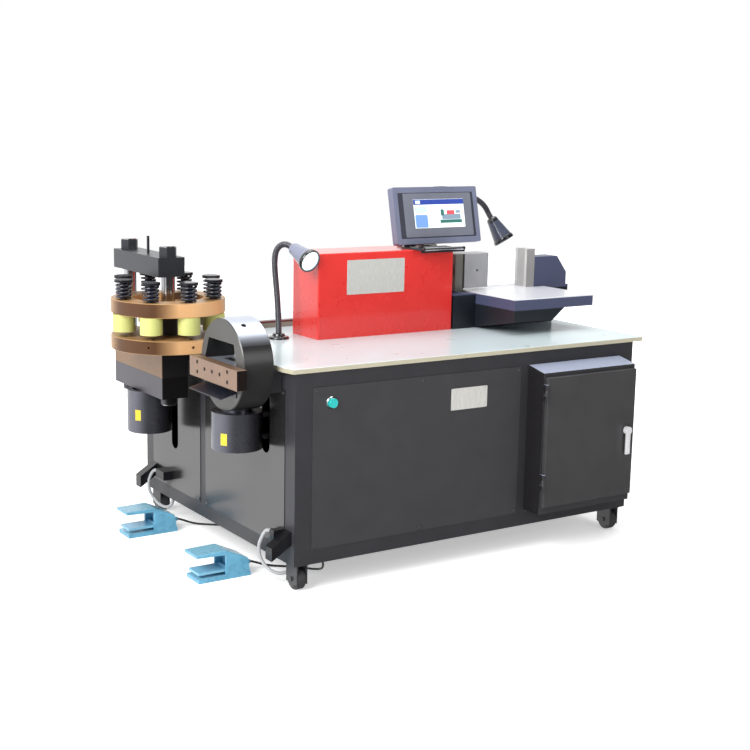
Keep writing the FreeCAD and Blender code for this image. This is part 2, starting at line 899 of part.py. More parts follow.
def shear_head():
    disc = edged(shear_disc(), "head_bevel", lambda edge: edge.Curve.TypeId == "Part::GeomCircle", "Part::Chamfer")
    window = plate(
        "yz",
        [
            ("window_low_front", "window_bottom"),
            ("window_low_back", "window_bottom"),
            ("window_high_back", "window_top"),
            ("window_high_front", "window_top"),
        ],
        "shear_left-overrun",
        "shear_thickness+2*overrun",
    )
    slot = block(
        ("blade_slot_left", SLOT_RIGHT),
        ("blade_front", "blade_back"),
        ("blade_slot_bottom", "window_bottom+overrun"),
    )
    bore = rod(
        "z",
        "shear_cylinder_x",
        "shear_y",
        "shear_z-shear_radius-overrun",
        "blade_rod_radius+running_gap",
        "shear_radius",
    )
    head = cut(disc, window, slot, bore, lifting_hole())
    reach = "(shear_radius+overrun)"
    width = ("shear_left-overrun", "shear_left+shear_thickness+overrun")
    depth = (f"shear_y-{reach}", f"shear_y+{reach}")
    levels = [f"shear_z-{reach}", "window_bottom", "window_top", f"shear_z+{reach}"]
    spans = [(width, depth, level) for level in zip(levels, levels[1:])]
    return node(parted(head, *spans), "shear_head")


def shear_lower_blade():
    bottom = "window_bottom-blade_sink-blade_height"
    blade = block(
        ("blade_slot_left+rest_gap", f"{SLOT_RIGHT}-rest_gap"),
        ("blade_front+rest_gap", "blade_back-rest_gap"),
        (bottom, "window_bottom-blade_sink"),
    )
    floor = "shear_cylinder_top-shear_cylinder_height+shear_cylinder_floor+blade_piston_lift"
    bar = rod("z", "shear_cylinder_x", "shear_y", floor, "blade_rod_radius", f"{bottom}-({floor})")
    piston = rod("z", "shear_cylinder_x", "shear_y", floor, "shear_bore-running_gap", "blade_piston_height")
    return node(fuse(blade, bar, piston), "shear_lower_blade")


def shear_upper_blade():
    start = f"{SLOT_RIGHT}-rest_gap+blade_gap"
    front = "window_high_front+overrun"
    blade = block(
        (start, f"{start}+upper_blade_width"),
        (front, "blade_back"),
        ("upper_blade_edge", "window_top"),
    )
    return node(blade, "shear_upper_blade")


def shear_guide_block():
    left = "shear_left-guide_width"
    body = block(
        (left, "shear_left"),
        ("guide_front", "guide_back"),
        ("guide_bottom", "guide_bottom+guide_height"),
    )
    body = edged(body, "small_round", runs_along(SIDEWAYS))
    holes = []
    step_shares = [(-2, 1), (-2, -1), (-1, 0), (0, 0), (1, 0), (2, 1), (2, -1)]
    for along, up in step_shares:
        y = f"guide_hole_y-({along})*guide_hole_step"
        z = f"guide_hole_z+({up})*guide_hole_rise"
        holes.append(rod("x", f"{left}-overrun", y, z, "guide_hole_radius", "guide_width+2*overrun"))
    return node(cut(body, *holes), "shear_guide_block")


def shear_chute():
    tip = "shear_left-chute_reach"
    low = "chute_top-chute_drop"
    outline = [
        ("shear_left", "chute_top"),
        ("shear_left-chute_sheet", "chute_top-chute_sheet"),
        (tip, low),
        (tip, f"{low}-chute_sheet"),
        ("shear_left-chute_sheet", "chute_top-2*chute_sheet"),
        ("shear_left-chute_sheet", "chute_top-chute_flange"),
        ("shear_left", "chute_top-chute_flange"),
    ]
    return node(plate("xz", outline, "chute_front", "chute_back-chute_front"), "shear_chute")


def shear_cylinder():
    bottom = "shear_cylinder_top-shear_cylinder_height"
    body = rod("z", "shear_cylinder_x", "shear_y", bottom, "shear_cylinder_radius", "shear_cylinder_height")
    low = number(bottom)
    body = edged(body, "edge_round", lambda edge: edge.CenterOfMass.z < low + 1 and edge.Curve.TypeId == "Part::GeomCircle")
    neck = rod("z", "shear_cylinder_x", "shear_y", "shear_cylinder_top-overrun", "neck_radius", "neck_rise+overrun")
    head_space = rod(
        "x",
        "shear_left-overrun",
        "shear_y",
        "shear_z",
        "shear_radius+rest_gap",
        "shear_thickness+2*overrun",
    )
    neck = cut(neck, head_space)
    start = "shear_cylinder_x+shear_cylinder_radius-fitting_radius"
    fittings = [
        rod("x", start, "shear_y-fitting_radius-overrun", z, "fitting_radius", "fitting_reach")
        for z in ("upper_fitting_z-fitting_radius", "lower_fitting_z")
    ]
    chamber = rod(
        "z",
        "shear_cylinder_x",
        "shear_y",
        f"{bottom}+shear_cylinder_floor",
        "shear_bore",
        "shear_cylinder_height-shear_cylinder_floor-shear_cylinder_cap",
    )
    bore = rod("z", "shear_cylinder_x", "shear_y", f"{bottom}+shear_cylinder_floor", "blade_rod_radius+running_gap", "shear_cylinder_height+neck_rise")
    return node(cut(fuse(body, neck, *fittings), chamber, bore), "shear_cylinder")


def unit_brackets():
    punch = block((CROSS_X[1], "0"), ("punch_bracket_front", "punch_bracket_back"), (END_RAIL, END_TOP))
    shear = block((SHEAR_RIGHT, FACE), ("shear_bracket_front", "shear_bracket_back"), ("shear_bracket_bottom", FRAME_TOP))
    return node(group([punch, shear]), "unit_brackets")


# Bending unit: a ram pushes a V punch along X into a die that a bracket backs on the bed
sizes(
    "Bending unit",
    ram_y=577,
    ram_z=990,
    head_half_width=37,
    bed_left=990,
    bed_right=1500,
    bed_front=480,
    bed_back=675,
    bed_body_top=886,
    bed_top=906,
    tail_right=1633,
    tail_front=540,
    tail_back=640,
    tail_thickness=26,
    tail_rise=6,
    bracket_left=1446,
    bracket_knee_x=1567,
    bracket_knee_z=1033,
    bracket_end_x=1620,
    bracket_end_z=965,
    bend_stroke=172,
)
sizes(
    "Bending cylinder, ram, punch and die",
    barrel_left=430,
    barrel_right=900,
    barrel_radius=75,
    barrel_bore=55,
    barrel_end=20,
    saddle_length=50,
    saddle_half_width=70,
    saddle_inset=30,
    bend_piston_radius=54.9,
    bend_piston_length=40,
    bend_piston_start=500,
    bend_rod_radius=21,
    ram_head_left=1040,
    ram_head_length=46,
    ram_head_bottom=921,
    ram_head_height=137,
    ram_shoe_margin=5,
    punch_length=118,
    punch_nose=18,
    punch_pin_radius=5,
    punch_pin_x=1149,
    punch_pin_depth=20,
    die_left=1404,
    die_height=156,
    notch_depth=22,
    notch_half_width=23,
)
sizes(
    "Table in front of the bending unit",
    table_left=1100,
    table_right=1498,
    table_front=235,
    table_top_sheet=4,
    table_rim=39,
    table_band=86,
    table_band_back=134,
    table_step_low=1292,
    table_step_high=1351,
    table_wall=8,
    top_back=536,
    top_inner_right=1442,
    top_inner_back=640,
)
HEAD_Y = ("ram_y-head_half_width", "ram_y+head_half_width")
TABLE_Z = "bed_top+table_top_sheet"


def bend_cylinder():
    pieces = [rod("x", "barrel_left", "ram_y", "ram_z", "barrel_radius", "barrel_right-barrel_left")]
    for x in ("barrel_left+saddle_inset", "barrel_right-saddle_inset-saddle_length"):
        saddle = block((x, f"{x}+saddle_length"), ("ram_y-saddle_half_width", "ram_y+saddle_half_width"), ("worktop_top", "ram_z"))
        pieces.append(saddle)
    chamber = rod("x", "barrel_left+barrel_end", "ram_y", "ram_z", "barrel_bore", "barrel_right-barrel_left-2*barrel_end")
    bore = rod("x", "barrel_right-barrel_end-overrun", "ram_y", "ram_z", "bend_rod_radius+running_gap", "barrel_end+2*overrun")
    return node(cut(fuse(*pieces), chamber, bore), "bend_cylinder")


def bend_ram():
    piston = rod("x", "bend_piston_start", "ram_y", "ram_z", "bend_piston_radius", "bend_piston_length")
    bar = rod("x", "bend_piston_start", "ram_y", "ram_z", "bend_rod_radius", "ram_head_left-bend_piston_start")
    head_x = ("ram_head_left", "ram_head_left+ram_head_length")
    head = block(head_x, HEAD_Y, ("ram_head_bottom", "ram_head_bottom+ram_head_height"))
    head = edged(head, "small_round", runs_along(UP))
    shoe_y = (f"{HEAD_Y[0]}+ram_shoe_margin", f"{HEAD_Y[1]}-ram_shoe_margin")
    shoe = block(head_x, shoe_y, (f"{TABLE_Z}+rest_gap", "ram_head_bottom"))
    return node(fuse(piston, bar, head, shoe), "bend_ram")


def bend_punch():
    left = "ram_head_left+ram_head_length"
    right = f"{left}+punch_length"
    outline = [
        (left, HEAD_Y[0]),
        (right, HEAD_Y[0]),
        (f"{right}+punch_nose", "ram_y"),
        (right, HEAD_Y[1]),
        (left, HEAD_Y[1]),
    ]
    body = plate("xy", outline, "ram_head_bottom", "ram_head_height")
    nose = number(f"{right}+punch_nose")
    body = edged(body, "edge_round", lambda edge: edge.BoundBox.XMin > nose - 1)
    hole = rod("y", "punch_pin_x", f"{HEAD_Y[0]}-overrun", "ram_z", "punch_pin_radius", "punch_pin_depth+overrun")
    return node(cut(body, hole), "bend_punch")


def bend_die():
    outline = [
        ("die_left", HEAD_Y[0]),
        ("bracket_left", HEAD_Y[0]),
        ("bracket_left", HEAD_Y[1]),
        ("die_left", HEAD_Y[1]),
        ("die_left", "ram_y+notch_half_width"),
        ("die_left+notch_depth", "ram_y"),
        ("die_left", "ram_y-notch_half_width"),
    ]
    return node(plate("xy", outline, TABLE_Z, "die_height"), "bend_die")


def bend_bed():
    body = block(("bed_left", "bed_right"), ("bed_front", "bed_back"), ("worktop_top", "bed_body_top"))
    slab = block(("bed_left", "bed_right"), ("bed_front", "bed_back"), ("bed_body_top", "bed_top"))
    tail_top = "bed_top+tail_rise"
    tail = block(("bracket_left", "tail_right"), ("tail_front", "tail_back"), (f"{tail_top}-tail_thickness", tail_top))
    outline = [
        ("bracket_left", tail_top),
        ("bracket_end_x", tail_top),
        ("bracket_end_x", "bracket_end_z"),
        ("bracket_knee_x", "bracket_knee_z"),
        ("bracket_left", "bracket_knee_z"),
    ]
    bracket = plate("xz", outline, HEAD_Y[0], f"{HEAD_Y[1]}-({HEAD_Y[0]})")
    return node(fuse(body, slab, tail, bracket), "bend_bed")


def bend_table():
    rim_bottom = "bed_top-table_rim"
    band_bottom = "bed_top-table_band"
    back_bottom = "bed_top-table_band_back"
    front = [
        ("table_left", band_bottom),
        ("table_step_low", band_bottom),
        ("table_step_high", rim_bottom),
        ("table_right", rim_bottom),
        ("table_right", "bed_top"),
        ("table_left", "bed_top"),
    ]
    shape = plate("xz", front, "table_front", "bed_front-table_front")
    side = [
        ("table_front", band_bottom),
        ("bed_front", back_bottom),
        ("bed_front", band_bottom),
    ]
    wedge = plate("yz", side, "table_left", "table_step_low-table_left")
    hollow = block(
        ("table_left+table_wall", "table_right-table_wall"),
        ("table_front+table_wall", "bed_front-table_wall"),
        (f"{back_bottom}-overrun", "bed_top-table_wall"),
    )
    return node(cut(fuse(shape, wedge), hollow), "bend_table")


def bend_table_top():
    outline = [
        ("table_left", "table_front"),
        ("table_right", "table_front"),
        ("table_right", "top_back"),
        ("top_inner_right", "top_back"),
        ("top_inner_right", "top_inner_back"),
        ("table_left", "top_inner_back"),
    ]
    return node(plate("xy", outline, "bed_top", "table_top_sheet"), "bend_table_top")


# Red cover over the bending cylinder: folded sheet, open below
sizes(
    "Red cover",
    cover_left=373,
    cover_right=985,
    cover_front=482,
    cover_back=672,
    cover_top=1089,
    cover_sheet=3,
    cover_hole_radius=34,
    cover_round=5,
)


def red_cover():
    outer = block(("cover_left", "cover_right"), ("cover_front", "cover_back"), ("worktop_top", "cover_top"))
    middle = number("(cover_top+worktop_top)/2")
    outer = edged(outer, "cover_round", lambda edge: edge.CenterOfMass.z > middle - 1)
    hollow = block(
        ("cover_left+cover_sheet", "cover_right-cover_sheet"),
        ("cover_front+cover_sheet", "cover_back-cover_sheet"),
        ("worktop_top-overrun", "cover_top-cover_sheet"),
    )
    hole = rod("x", "cover_right-cover_sheet-overrun", "ram_y", "ram_z", "cover_hole_radius", "cover_sheet+2*overrun")
    return node(cut(outer, hollow, hole), "red_cover")


sizes(
    "Fence rail on the worktop",
    fence_left=110,
    fence_right=960,
    fence_y=830,
    fence_width=30,
    fence_height=26,
)


def fence_rail():
    body = block(
        ("fence_left", "fence_right"),
        ("fence_y", "fence_y+fence_width"),
        ("worktop_top", "worktop_top+fence_height"),
    )
    return node(edged(body, "small_round", runs_along(SIDEWAYS)), "fence_rail")


# Casters: a fork of bent plate under each corner, with a wheel on a bolt along X
sizes(
    "Casters",
    wheel_radius=38,
    wheel_width=32,
    axle_radius=4,
    axle_head_radius=8,
    axle_head=5,
    fork_plate=4,
    fork_gap=1,
    fork_top_plate=5,
    fork_top_length=84,
    fork_length=72,
    fork_nose=28,
    wheel_dish_radius=22,
    wheel_dish_depth=4,
    wheel_round=4,
    left_wheel_x=40,
    right_wheel_inset=40,
    front_wheel_y=50,
    rear_wheel_inset=45,
)
WHEELS = {
    "front_left": ("left_wheel_x", "front_wheel_y"),
    "front_right": (f"{LENGTH}-right_wheel_inset", "front_wheel_y"),
    "rear_left": ("left_wheel_x", f"{DEPTH}-rear_wheel_inset"),
    "rear_right": (f"{LENGTH}-right_wheel_inset", f"{DEPTH}-rear_wheel_inset"),
}


def one_fork(x, y):
    inner = "wheel_width/2+fork_gap"
    outer = f"{inner}+fork_plate"
    top = "floor_gap-fork_top_plate"
    pieces = [
        block(
            (f"{x}-({outer})", f"{x}+{outer}"),
            (f"{y}-fork_top_length/2", f"{y}+fork_top_length/2"),
            (top, "floor_gap"),
        )
    ]
    for start in (f"{x}-({outer})", f"{x}+{inner}"):
        pieces.append(
            block(
                (start, f"{start}+fork_plate"),
                (f"{y}-fork_length/2", f"{y}+fork_length/2"),
                ("wheel_radius", top),
            )
        )
        nose = rod("x", start, y, "wheel_radius", "fork_nose", "fork_plate")
        flare = block(
            (start, f"{start}+fork_plate"),
            (f"{y}-fork_length/2", f"{y}+fork_length/2"),
            ("wheel_radius-fork_nose/2", "wheel_radius"),
        )
        pieces.append(nose)
        pieces.append(flare)
    pieces.append(rod("x", f"{x}-({outer})-axle_head", y, "wheel_radius", "axle_radius", f"2*({outer}+axle_head)"))
    for start in (f"{x}-({outer})-axle_head", f"{x}+{outer}"):
        pieces.append(rod("x", start, y, "wheel_radius", "axle_head_radius", "axle_head"))
    return fuse(*pieces)


def caster_forks():
    return node(group([one_fork(x, y) for x, y in WHEELS.values()]), "caster_forks")


def caster_wheel(name, x, y):
    left = f"{x}-wheel_width/2"
    body = rod("x", left, y, "wheel_radius", "wheel_radius", "wheel_width")
    body = edged(body, "wheel_round", lambda edge: edge.Curve.TypeId == "Part::GeomCircle")
    dishes = [
        rod("x", f"{left}-overrun", y, "wheel_radius", "wheel_dish_radius", "wheel_dish_depth+overrun"),
        rod("x", f"{left}+wheel_width-wheel_dish_depth", y, "wheel_radius", "wheel_dish_radius", "wheel_dish_depth+overrun"),
    ]
    hub = rod("x", left, y, "wheel_radius", "axle_head_radius+rest_gap", "wheel_width")
    bore = rod("x", f"{left}-overrun", y, "wheel_radius", "axle_radius+running_gap", "wheel_width+2*overrun")
    return node(cut(fuse(cut(body, *dishes), hub), bore), "wheel_" + name)


# Electric box on the front, with a hinged door and a lever handle
sizes(
    "Electric box",
    box_left=983,
    box_right=1430,
    box_depth=87,
    box_bottom=158,
    box_top=687,
    box_roof_rise=18,
    box_sheet=2,
    opening_margin=15,
    door_left=990,
    door_right=1424,
    door_bottom=186,
    door_top=672,
    door_depth=17,
    door_gap=1,
    door_round=3,
    hinge_radius=7,
    hinge_pin_radius=3,
    hinge_length=60,
    knuckle_length=20,
    hinge_y=108,
    upper_hinge_z=618,
    lower_hinge_z=283,
    hinge_leaf=4,
)
sizes(
    "Door handle",
    handle_x=1383,
    handle_z=439,
    rosette_radius=20,
    rosette_height=3,
    handle_hub_radius=15,
    handle_hub_length=16,
    lever_width=20,
    lever_thickness=10,
    lever_length=91,
    spindle_pin_radius=5,
    spindle_pin_length=20,
    cam_length=30,
    cam_width=12,
    cam_thickness=4,
)
sizes(
    "Equipment in the electric box",
    equipment_plate=3,
    equipment_margin=40,
    rail_depth=8,
    rail_height=35,
    module_depth=48,
    module_height=90,
)
BOX_BACK = "-panel_sheet"
BOX_FRONT = f"{BOX_BACK}-box_depth"
DOOR_BACK = f"{BOX_FRONT}-door_gap"
DOOR_FRONT = f"{DOOR_BACK}-door_depth"
HINGE_LEVELS = ("upper_hinge_z", "lower_hinge_z")


def electric_box():
    side = [
        (BOX_FRONT, "box_bottom"),
        (BOX_BACK, "box_bottom"),
        (BOX_BACK, "box_top+box_roof_rise"),
        (BOX_FRONT, "box_top"),
    ]
    body = plate("yz", side, "box_left", "box_right-box_left")
    inner_x = ("box_left+box_sheet", "box_right-box_sheet")
    inner_z = ("box_bottom+box_sheet", "box_top-box_sheet")
    hollow = block(inner_x, (f"{BOX_FRONT}+box_sheet", f"{BOX_BACK}-box_sheet"), inner_z)
    mouth = block(
        ("door_left+opening_margin", "door_right-opening_margin"),
        (f"{BOX_FRONT}-overrun", f"{BOX_FRONT}+box_sheet+overrun"),
        ("door_bottom+opening_margin", "door_top-opening_margin"),
    )
    pieces = [cut(body, hollow, mouth)]
    for z in HINGE_LEVELS:
        pieces.extend(hinge_halves(z))
    return node(fuse(*pieces), "electric_box")


def hinge_halves(z):
    half = "hinge_length/2"
    inner = "knuckle_length/2+rest_gap"
    axis = ("box_left", "-hinge_y")
    pieces = [rod("z", *axis, f"{z}-{half}", "hinge_pin_radius", "hinge_length")]
    for start in (f"{z}-{half}", f"{z}+{inner}"):
        length = f"{half}-({inner})"
        pieces.append(rod("z", *axis, start, "hinge_radius", length))
        leaf_x = ("box_left-hinge_leaf/2", "box_left+hinge_leaf/2")
        pieces.append(block(leaf_x, ("-hinge_y", BOX_FRONT), (start, f"{start}+{length}")))
    return pieces


def box_door():
    body = block(("door_left", "door_right"), (DOOR_FRONT, DOOR_BACK), ("door_bottom", "door_top"))
    body = edged(body, "door_round", lambda edge: edge.CenterOfMass.y < number(DOOR_BACK) - 1)
    hollow = block(
        ("door_left+box_sheet", "door_right-box_sheet"),
        (f"{DOOR_FRONT}+box_sheet", f"{DOOR_BACK}+overrun"),
        ("door_bottom+box_sheet", "door_top-box_sheet"),
    )
    rosette = rod("y", "handle_x", f"{DOOR_FRONT}-rosette_height", "handle_z", "rosette_radius", "rosette_height")
    pin_hole = rod("y", "handle_x", f"{DOOR_FRONT}-rosette_height-overrun", "handle_z", "spindle_pin_radius+running_gap", "rosette_height+box_sheet+2*overrun")
    pieces = [cut(body, hollow), rosette]
    bores = [pin_hole]
    for z in HINGE_LEVELS:
        start = f"{z}-knuckle_length/2"
        span = (start, f"{start}+knuckle_length")
        pieces.append(rod("z", "box_left", "-hinge_y", start, "hinge_radius", "knuckle_length"))
        pieces.append(block(("box_left", "door_left+box_sheet"), ("-hinge_y", "hinge_leaf-hinge_y"), span))
        bores.append(rod("z", "box_left", "-hinge_y", f"{start}-overrun", "hinge_pin_radius+running_gap", "knuckle_length+2*overrun"))
    return node(cut(fuse(*pieces), *bores), "box_door")


def door_handle():
    face = f"{DOOR_FRONT}-rosette_height-rest_gap"
    hub = rod("y", "handle_x", f"{face}-handle_hub_length", "handle_z", "handle_hub_radius", "handle_hub_length")
    lever = block(
        ("handle_x-lever_width/2", "handle_x+lever_width/2"),
        (f"{face}-handle_hub_length", f"{face}-handle_hub_length+lever_thickness"),
        ("handle_z-lever_length", "handle_z"),
    )
    lever = edged(lever, "edge_round", runs_along(UP))
    pin = rod("y", "handle_x", f"{face}", "handle_z", "spindle_pin_radius", "spindle_pin_length")
    cam_front = f"{face}+spindle_pin_length-cam_thickness"
    cam = block(
        ("handle_x-cam_width/2", "handle_x+cam_width/2"),
        (cam_front, f"{cam_front}+cam_thickness"),
        ("handle_z-cam_length", "handle_z"),
    )
    return node(fuse(hub, lever, pin, cam), "door_handle")


def electric_equipment():
    back = f"{BOX_BACK}-box_sheet"
    face = f"{back}-equipment_plate"
    margin = "equipment_margin"
    span = (f"box_left+{margin}", f"box_right-{margin}")
    pieces = [block(span, (face, back), (f"box_bottom+{margin}", f"box_top-{margin}"))]
    row_shares = [0.2, 0.5, 0.8]
    widths = [(0.02, 0.3), (0.34, 0.56), (0.6, 0.98)]
    for row, share in enumerate(row_shares):
        z = f"box_bottom+{margin}+(box_top-box_bottom-2*{margin})*{share}"
        rail_y = (f"{face}-rail_depth", face)
        pieces.append(block(span, rail_y, (f"{z}-rail_height/2", f"{z}+rail_height/2")))
        for low, high in widths[: 3 - row % 2]:
            reach = f"(box_right-box_left-2*{margin})"
            x = (f"{span[0]}+{reach}*{low}", f"{span[0]}+{reach}*{high}")
            module_y = (f"{face}-rail_depth-module_depth", f"{face}-rail_depth")
            pieces.append(block(x, module_y, (f"{z}-module_height/2", f"{z}+module_height/2")))
    return node(group(pieces), "electric_equipment")


# Touch screen on a short post behind it, tilted back on a pin
sizes(
    "Touch screen",
    screen_x=960,
    screen_y=560,
    screen_z=1214,
    screen_yaw=4,
    screen_tilt=-11.7,
    screen_width=425,
    screen_height=221,
    screen_depth=30,
    screen_rear_depth=26,
    screen_rear_margin=45,
    screen_bezel=22,
    screen_glass_depth=3,
    screen_corner=8,
)
sizes(
    "Screen post",
    post_plate=6,
    post_plate_length=60,
    post_plate_width=80,
    column_radius=10,
    pivot_pin_radius=6,
    lug_width=30,
    lug_radius=16,
    ear_thickness=8,
    tray_left=795,
    tray_right=1000,
    tray_front=430,
    tray_back=560,
    tray_sheet=4,
    tray_lip=12,
)


def screen_turn():
    yaw = Rotation(UP, number("screen_yaw"))
    return yaw.multiply(Rotation(SIDEWAYS, number("screen_tilt")))


def on_screen(thing):
    return put(thing, "screen_x", "screen_y", "screen_z", screen_turn())


LUG_Y = "screen_depth+screen_rear_depth+lug_radius+2*overrun"
LUG_Z = "-screen_height/6"


def screen_case():
    half_x = "screen_width/2"
    half_z = "screen_height/2"
    body = block((f"-{half_x}", half_x), ("0", "screen_depth"), (f"-{half_z}", half_z))
    body = edged(body, "screen_corner", runs_along(AHEAD))
    rear_x = f"{half_x}-screen_rear_margin"
    rear_z = f"{half_z}-screen_rear_margin/2"
    rear = block((f"-({rear_x})", rear_x), ("screen_depth", "screen_depth+screen_rear_depth"), (f"-({rear_z})", rear_z))
    lug = rod("x", "-lug_width/2", LUG_Y, LUG_Z, "lug_radius", "lug_width")
    arm = block(
        ("-lug_width/2", "lug_width/2"),
        ("screen_depth", LUG_Y),
        (f"{LUG_Z}-lug_radius", f"{LUG_Z}+lug_radius"),
    )
    pocket = block(
        (f"-{half_x}+screen_bezel", f"{half_x}-screen_bezel"),
        ("-overrun", "screen_glass_depth"),
        (f"-{half_z}+screen_bezel", f"{half_z}-screen_bezel"),
    )
    bore = rod("x", "-lug_width/2-overrun", LUG_Y, LUG_Z, "pivot_pin_radius+running_gap", "lug_width+2*overrun")
    made = cut(fuse(body, rear, lug, arm), pocket, bore)
    return node(on_screen(made), "screen_case")


def screen_glass():
    half_x = "screen_width/2-screen_bezel-rest_gap"
    half_z = "screen_height/2-screen_bezel-rest_gap"
    glass = block((f"-({half_x})", half_x), ("rest_gap", "screen_glass_depth"), (f"-({half_z})", half_z))
    return node(on_screen(group([glass])), "screen_glass")


# The fork and its pin turn with the screen's yaw, and the column stands on the cover
def screen_post():
    ear_gap = "lug_width/2+rest_gap"
    fork = []
    for start in (ear_gap, f"-({ear_gap})-ear_thickness"):
        fork.append(rod("x", start, "0", "0", "lug_radius", "ear_thickness"))
        fork.append(block((start, f"{start}+ear_thickness"), ("0", "2*lug_radius+2*overrun"), ("-lug_radius", "lug_radius")))
    fork.append(rod("x", f"-({ear_gap})-ear_thickness", "0", "0", "pivot_pin_radius", f"2*({ear_gap}+ear_thickness)"))
    back = (f"-({ear_gap})-ear_thickness", f"{ear_gap}+ear_thickness")
    fork.append(block(back, ("lug_radius+2*overrun", "2*lug_radius+2*overrun"), ("-lug_radius", "lug_radius")))
    turn = Rotation(UP, number("screen_yaw"))
    pivot = pivot_formulas()
    held = put(group([fuse(*fork)]), *pivot, turn)
    seat = "2*lug_radius+2*overrun-lug_radius/2"
    swing = "screen_yaw*1deg"
    foot_x = f"{pivot[0]}-({seat})*sin({swing})"
    foot_y = f"{pivot[1]}+({seat})*cos({swing})"
    column = rod("z", foot_x, foot_y, "cover_top", "column_radius", f"{pivot[2]}-cover_top")
    base = block(
        (f"{foot_x}-post_plate_length/2", f"{foot_x}+post_plate_length/2"),
        ("cover_back-post_plate_width", "cover_back-cover_round"),
        ("cover_top", "cover_top+post_plate"),
    )
    tray_top = "cover_top+tray_sheet"
    tray = block(("tray_left", "tray_right"), ("tray_front", "tray_back"), ("cover_top", tray_top))
    lip = block(("tray_left", "tray_right"), ("tray_front", "tray_front+tray_sheet"), (f"{tray_top}-tray_lip", tray_top))
    link = block(
        (f"{foot_x}-column_radius", f"{foot_x}+column_radius"),
        ("tray_back-overrun", "cover_back-post_plate_width+overrun"),
        ("cover_top", tray_top),
    )
    return node(fuse(held, column, base, tray, lip, link), "screen_post")


# The pivot's place in the machine, worked out from the tilted screen
def pivot_formulas():
    tilt = "screen_tilt*1deg"
    swing = "screen_yaw*1deg"
    back = f"(({LUG_Y})*cos({tilt})-({LUG_Z})*sin({tilt}))"
    up = f"(({LUG_Y})*sin({tilt})+({LUG_Z})*cos({tilt}))"
    return (f"screen_x-{back}*sin({swing})", f"screen_y+{back}*cos({swing})", f"screen_z+{up}")


# Two gooseneck work lamps with bell heads
sizes(
    "Lamps",
    gooseneck_radius=11.5,
    lamp_base_radius=39,
    lamp_base_height=9,
    lamp_collar_radius=22,
    lamp_collar_height=12,
    lamp_x=263,
    lamp_y=582,
    far_lamp_x=860,
    far_lamp_y=625,
    lamp_head_length=100,
    lamp_back_radius=22,
    lamp_mouth_radius=41,
    lamp_wall=3,
    lens_depth=8,
    lamp_height=341,
    far_lamp_reach=482,
    far_lamp_depth=83,
    far_lamp_height=210,
)
# Points on each neck, as shares of the lamp's reach along X, its depth along Y and its height
near_neck_shares = [
    (0.0, 0.0, 0.0),
    (0.0, 0.0, 0.123),
    (0.0, 0.015, 0.252),
    (0.0, 0.032, 0.393),
    (-0.003, 0.053, 0.534),
    (-0.003, 0.082, 0.674),
    (0.003, 0.109, 0.806),
    (0.023, 0.12, 0.915),
    (0.062, 0.088, 0.982),
    (0.109, 0.018, 1.0),
    (0.129, -0.094, 0.953),
]
far_neck_shares = [
    (0.0, 0.0, 0.0),
    (0.0, 0.084, 0.295),
    (0.033, 0.446, 0.59),
    (0.124, 0.759, 0.819),
    (0.259, 0.904, 0.952),
    (0.425, 0.976, 1.0),
    (0.591, 1.0, 0.971),
    (0.737, 0.952, 0.876),
    (0.865, 0.916, 0.743),
    (0.942, 1.024, 0.614),
    (0.979, 1.048, 0.486),
    (1.0, 0.904, 0.371),
]


def neck_points(start, shares, reach, depth, height):
    return [start + Vector(a * reach, b * depth, c * height) for a, b, c in shares]


def lamps():
    base_height = number("lamp_base_height")
    lifted = Vector(0, 0, base_height)
    near_foot = point("lamp_x", "lamp_y", "worktop_top")
    far_foot = point("far_lamp_x", "far_lamp_y", "cover_top")
    near_span = [number("lamp_height") for axis in near_foot]
    far_span = [number(name) for name in ("far_lamp_reach", "far_lamp_depth", "far_lamp_height")]
    near = neck_points(near_foot + lifted, near_neck_shares, *near_span)
    far = neck_points(far_foot + lifted, far_neck_shares, *far_span)
    stands = []
    heads = []
    lenses = []
    for name, foot, points in (("near neck", near_foot, near), ("far neck", far_foot, far)):
        stands.append(lamp_base(foot).fuse(tube(name, points, number("gooseneck_radius"))))
        head, lens = lamp_head(points[-1], (points[-1] - points[-2]).normalize())
        heads.append(head)
        lenses.append(lens)
    shaped("lamp_stands", Part.makeCompound(stands))
    shaped("lamp_heads", Part.makeCompound(heads))
    shaped("lamp_lenses", Part.makeCompound(lenses))


# A round flange with a collar, screwed down
def lamp_base(foot):
    height = number("lamp_base_height")
    flange = Part.makeCylinder(number("lamp_base_radius"), height, foot)
    top = [edge for edge in flange.Edges if edge.CenterOfMass.z > foot.z + height / 2]
    flange = flange.makeFillet(number("edge_round"), top[:1])
    collar = Part.makeCylinder(number("lamp_collar_radius"), height + number("lamp_collar_height"), foot)
    return flange.fuse(collar)


# A bell of spun metal from its neck to its mouth, with the lamp's glass inside
def lamp_head(neck_end, aim):
    length = number("lamp_head_length")
    back = number("lamp_back_radius")
    mouth = number("lamp_mouth_radius")
    wall = number("lamp_wall")
    outer = Part.makeCone(back, mouth, length, neck_end, aim)
    inner = Part.makeCone(back - wall, mouth - wall, length - wall, neck_end + aim * wall, aim)
    depth = number("lens_depth")
    clear = number("rest_gap")

    def inside(distance):
        return back - wall + (mouth - back) * (distance - wall) / (length - wall)

    seat = length - depth - wall
    lens = Part.makeCone(inside(seat) - clear, inside(seat + depth) - clear, depth, neck_end + aim * seat, aim)
    return outer.cut(inner), lens


# Connectors low on the left end, with a gland each and a flexible conduit that goes back under
sizes(
    "Connectors",
    housing_width=44,
    front_housing_y=18,
    rear_housing_y=1088,
    housing_reach=75,
    housing_height=46,
    housing_top=214,
    housing_drop=46,
    hood_length=26,
    hood_depth=44,
    hood_height=34,
    rear_hood_start=940,
    rear_hood_length=70,
    hood_bottom=180,
    gland_radius=11,
    gland_length=22,
    gland_x=-24,
    conduit_radius=6.5,
    cable_radius=4,
)


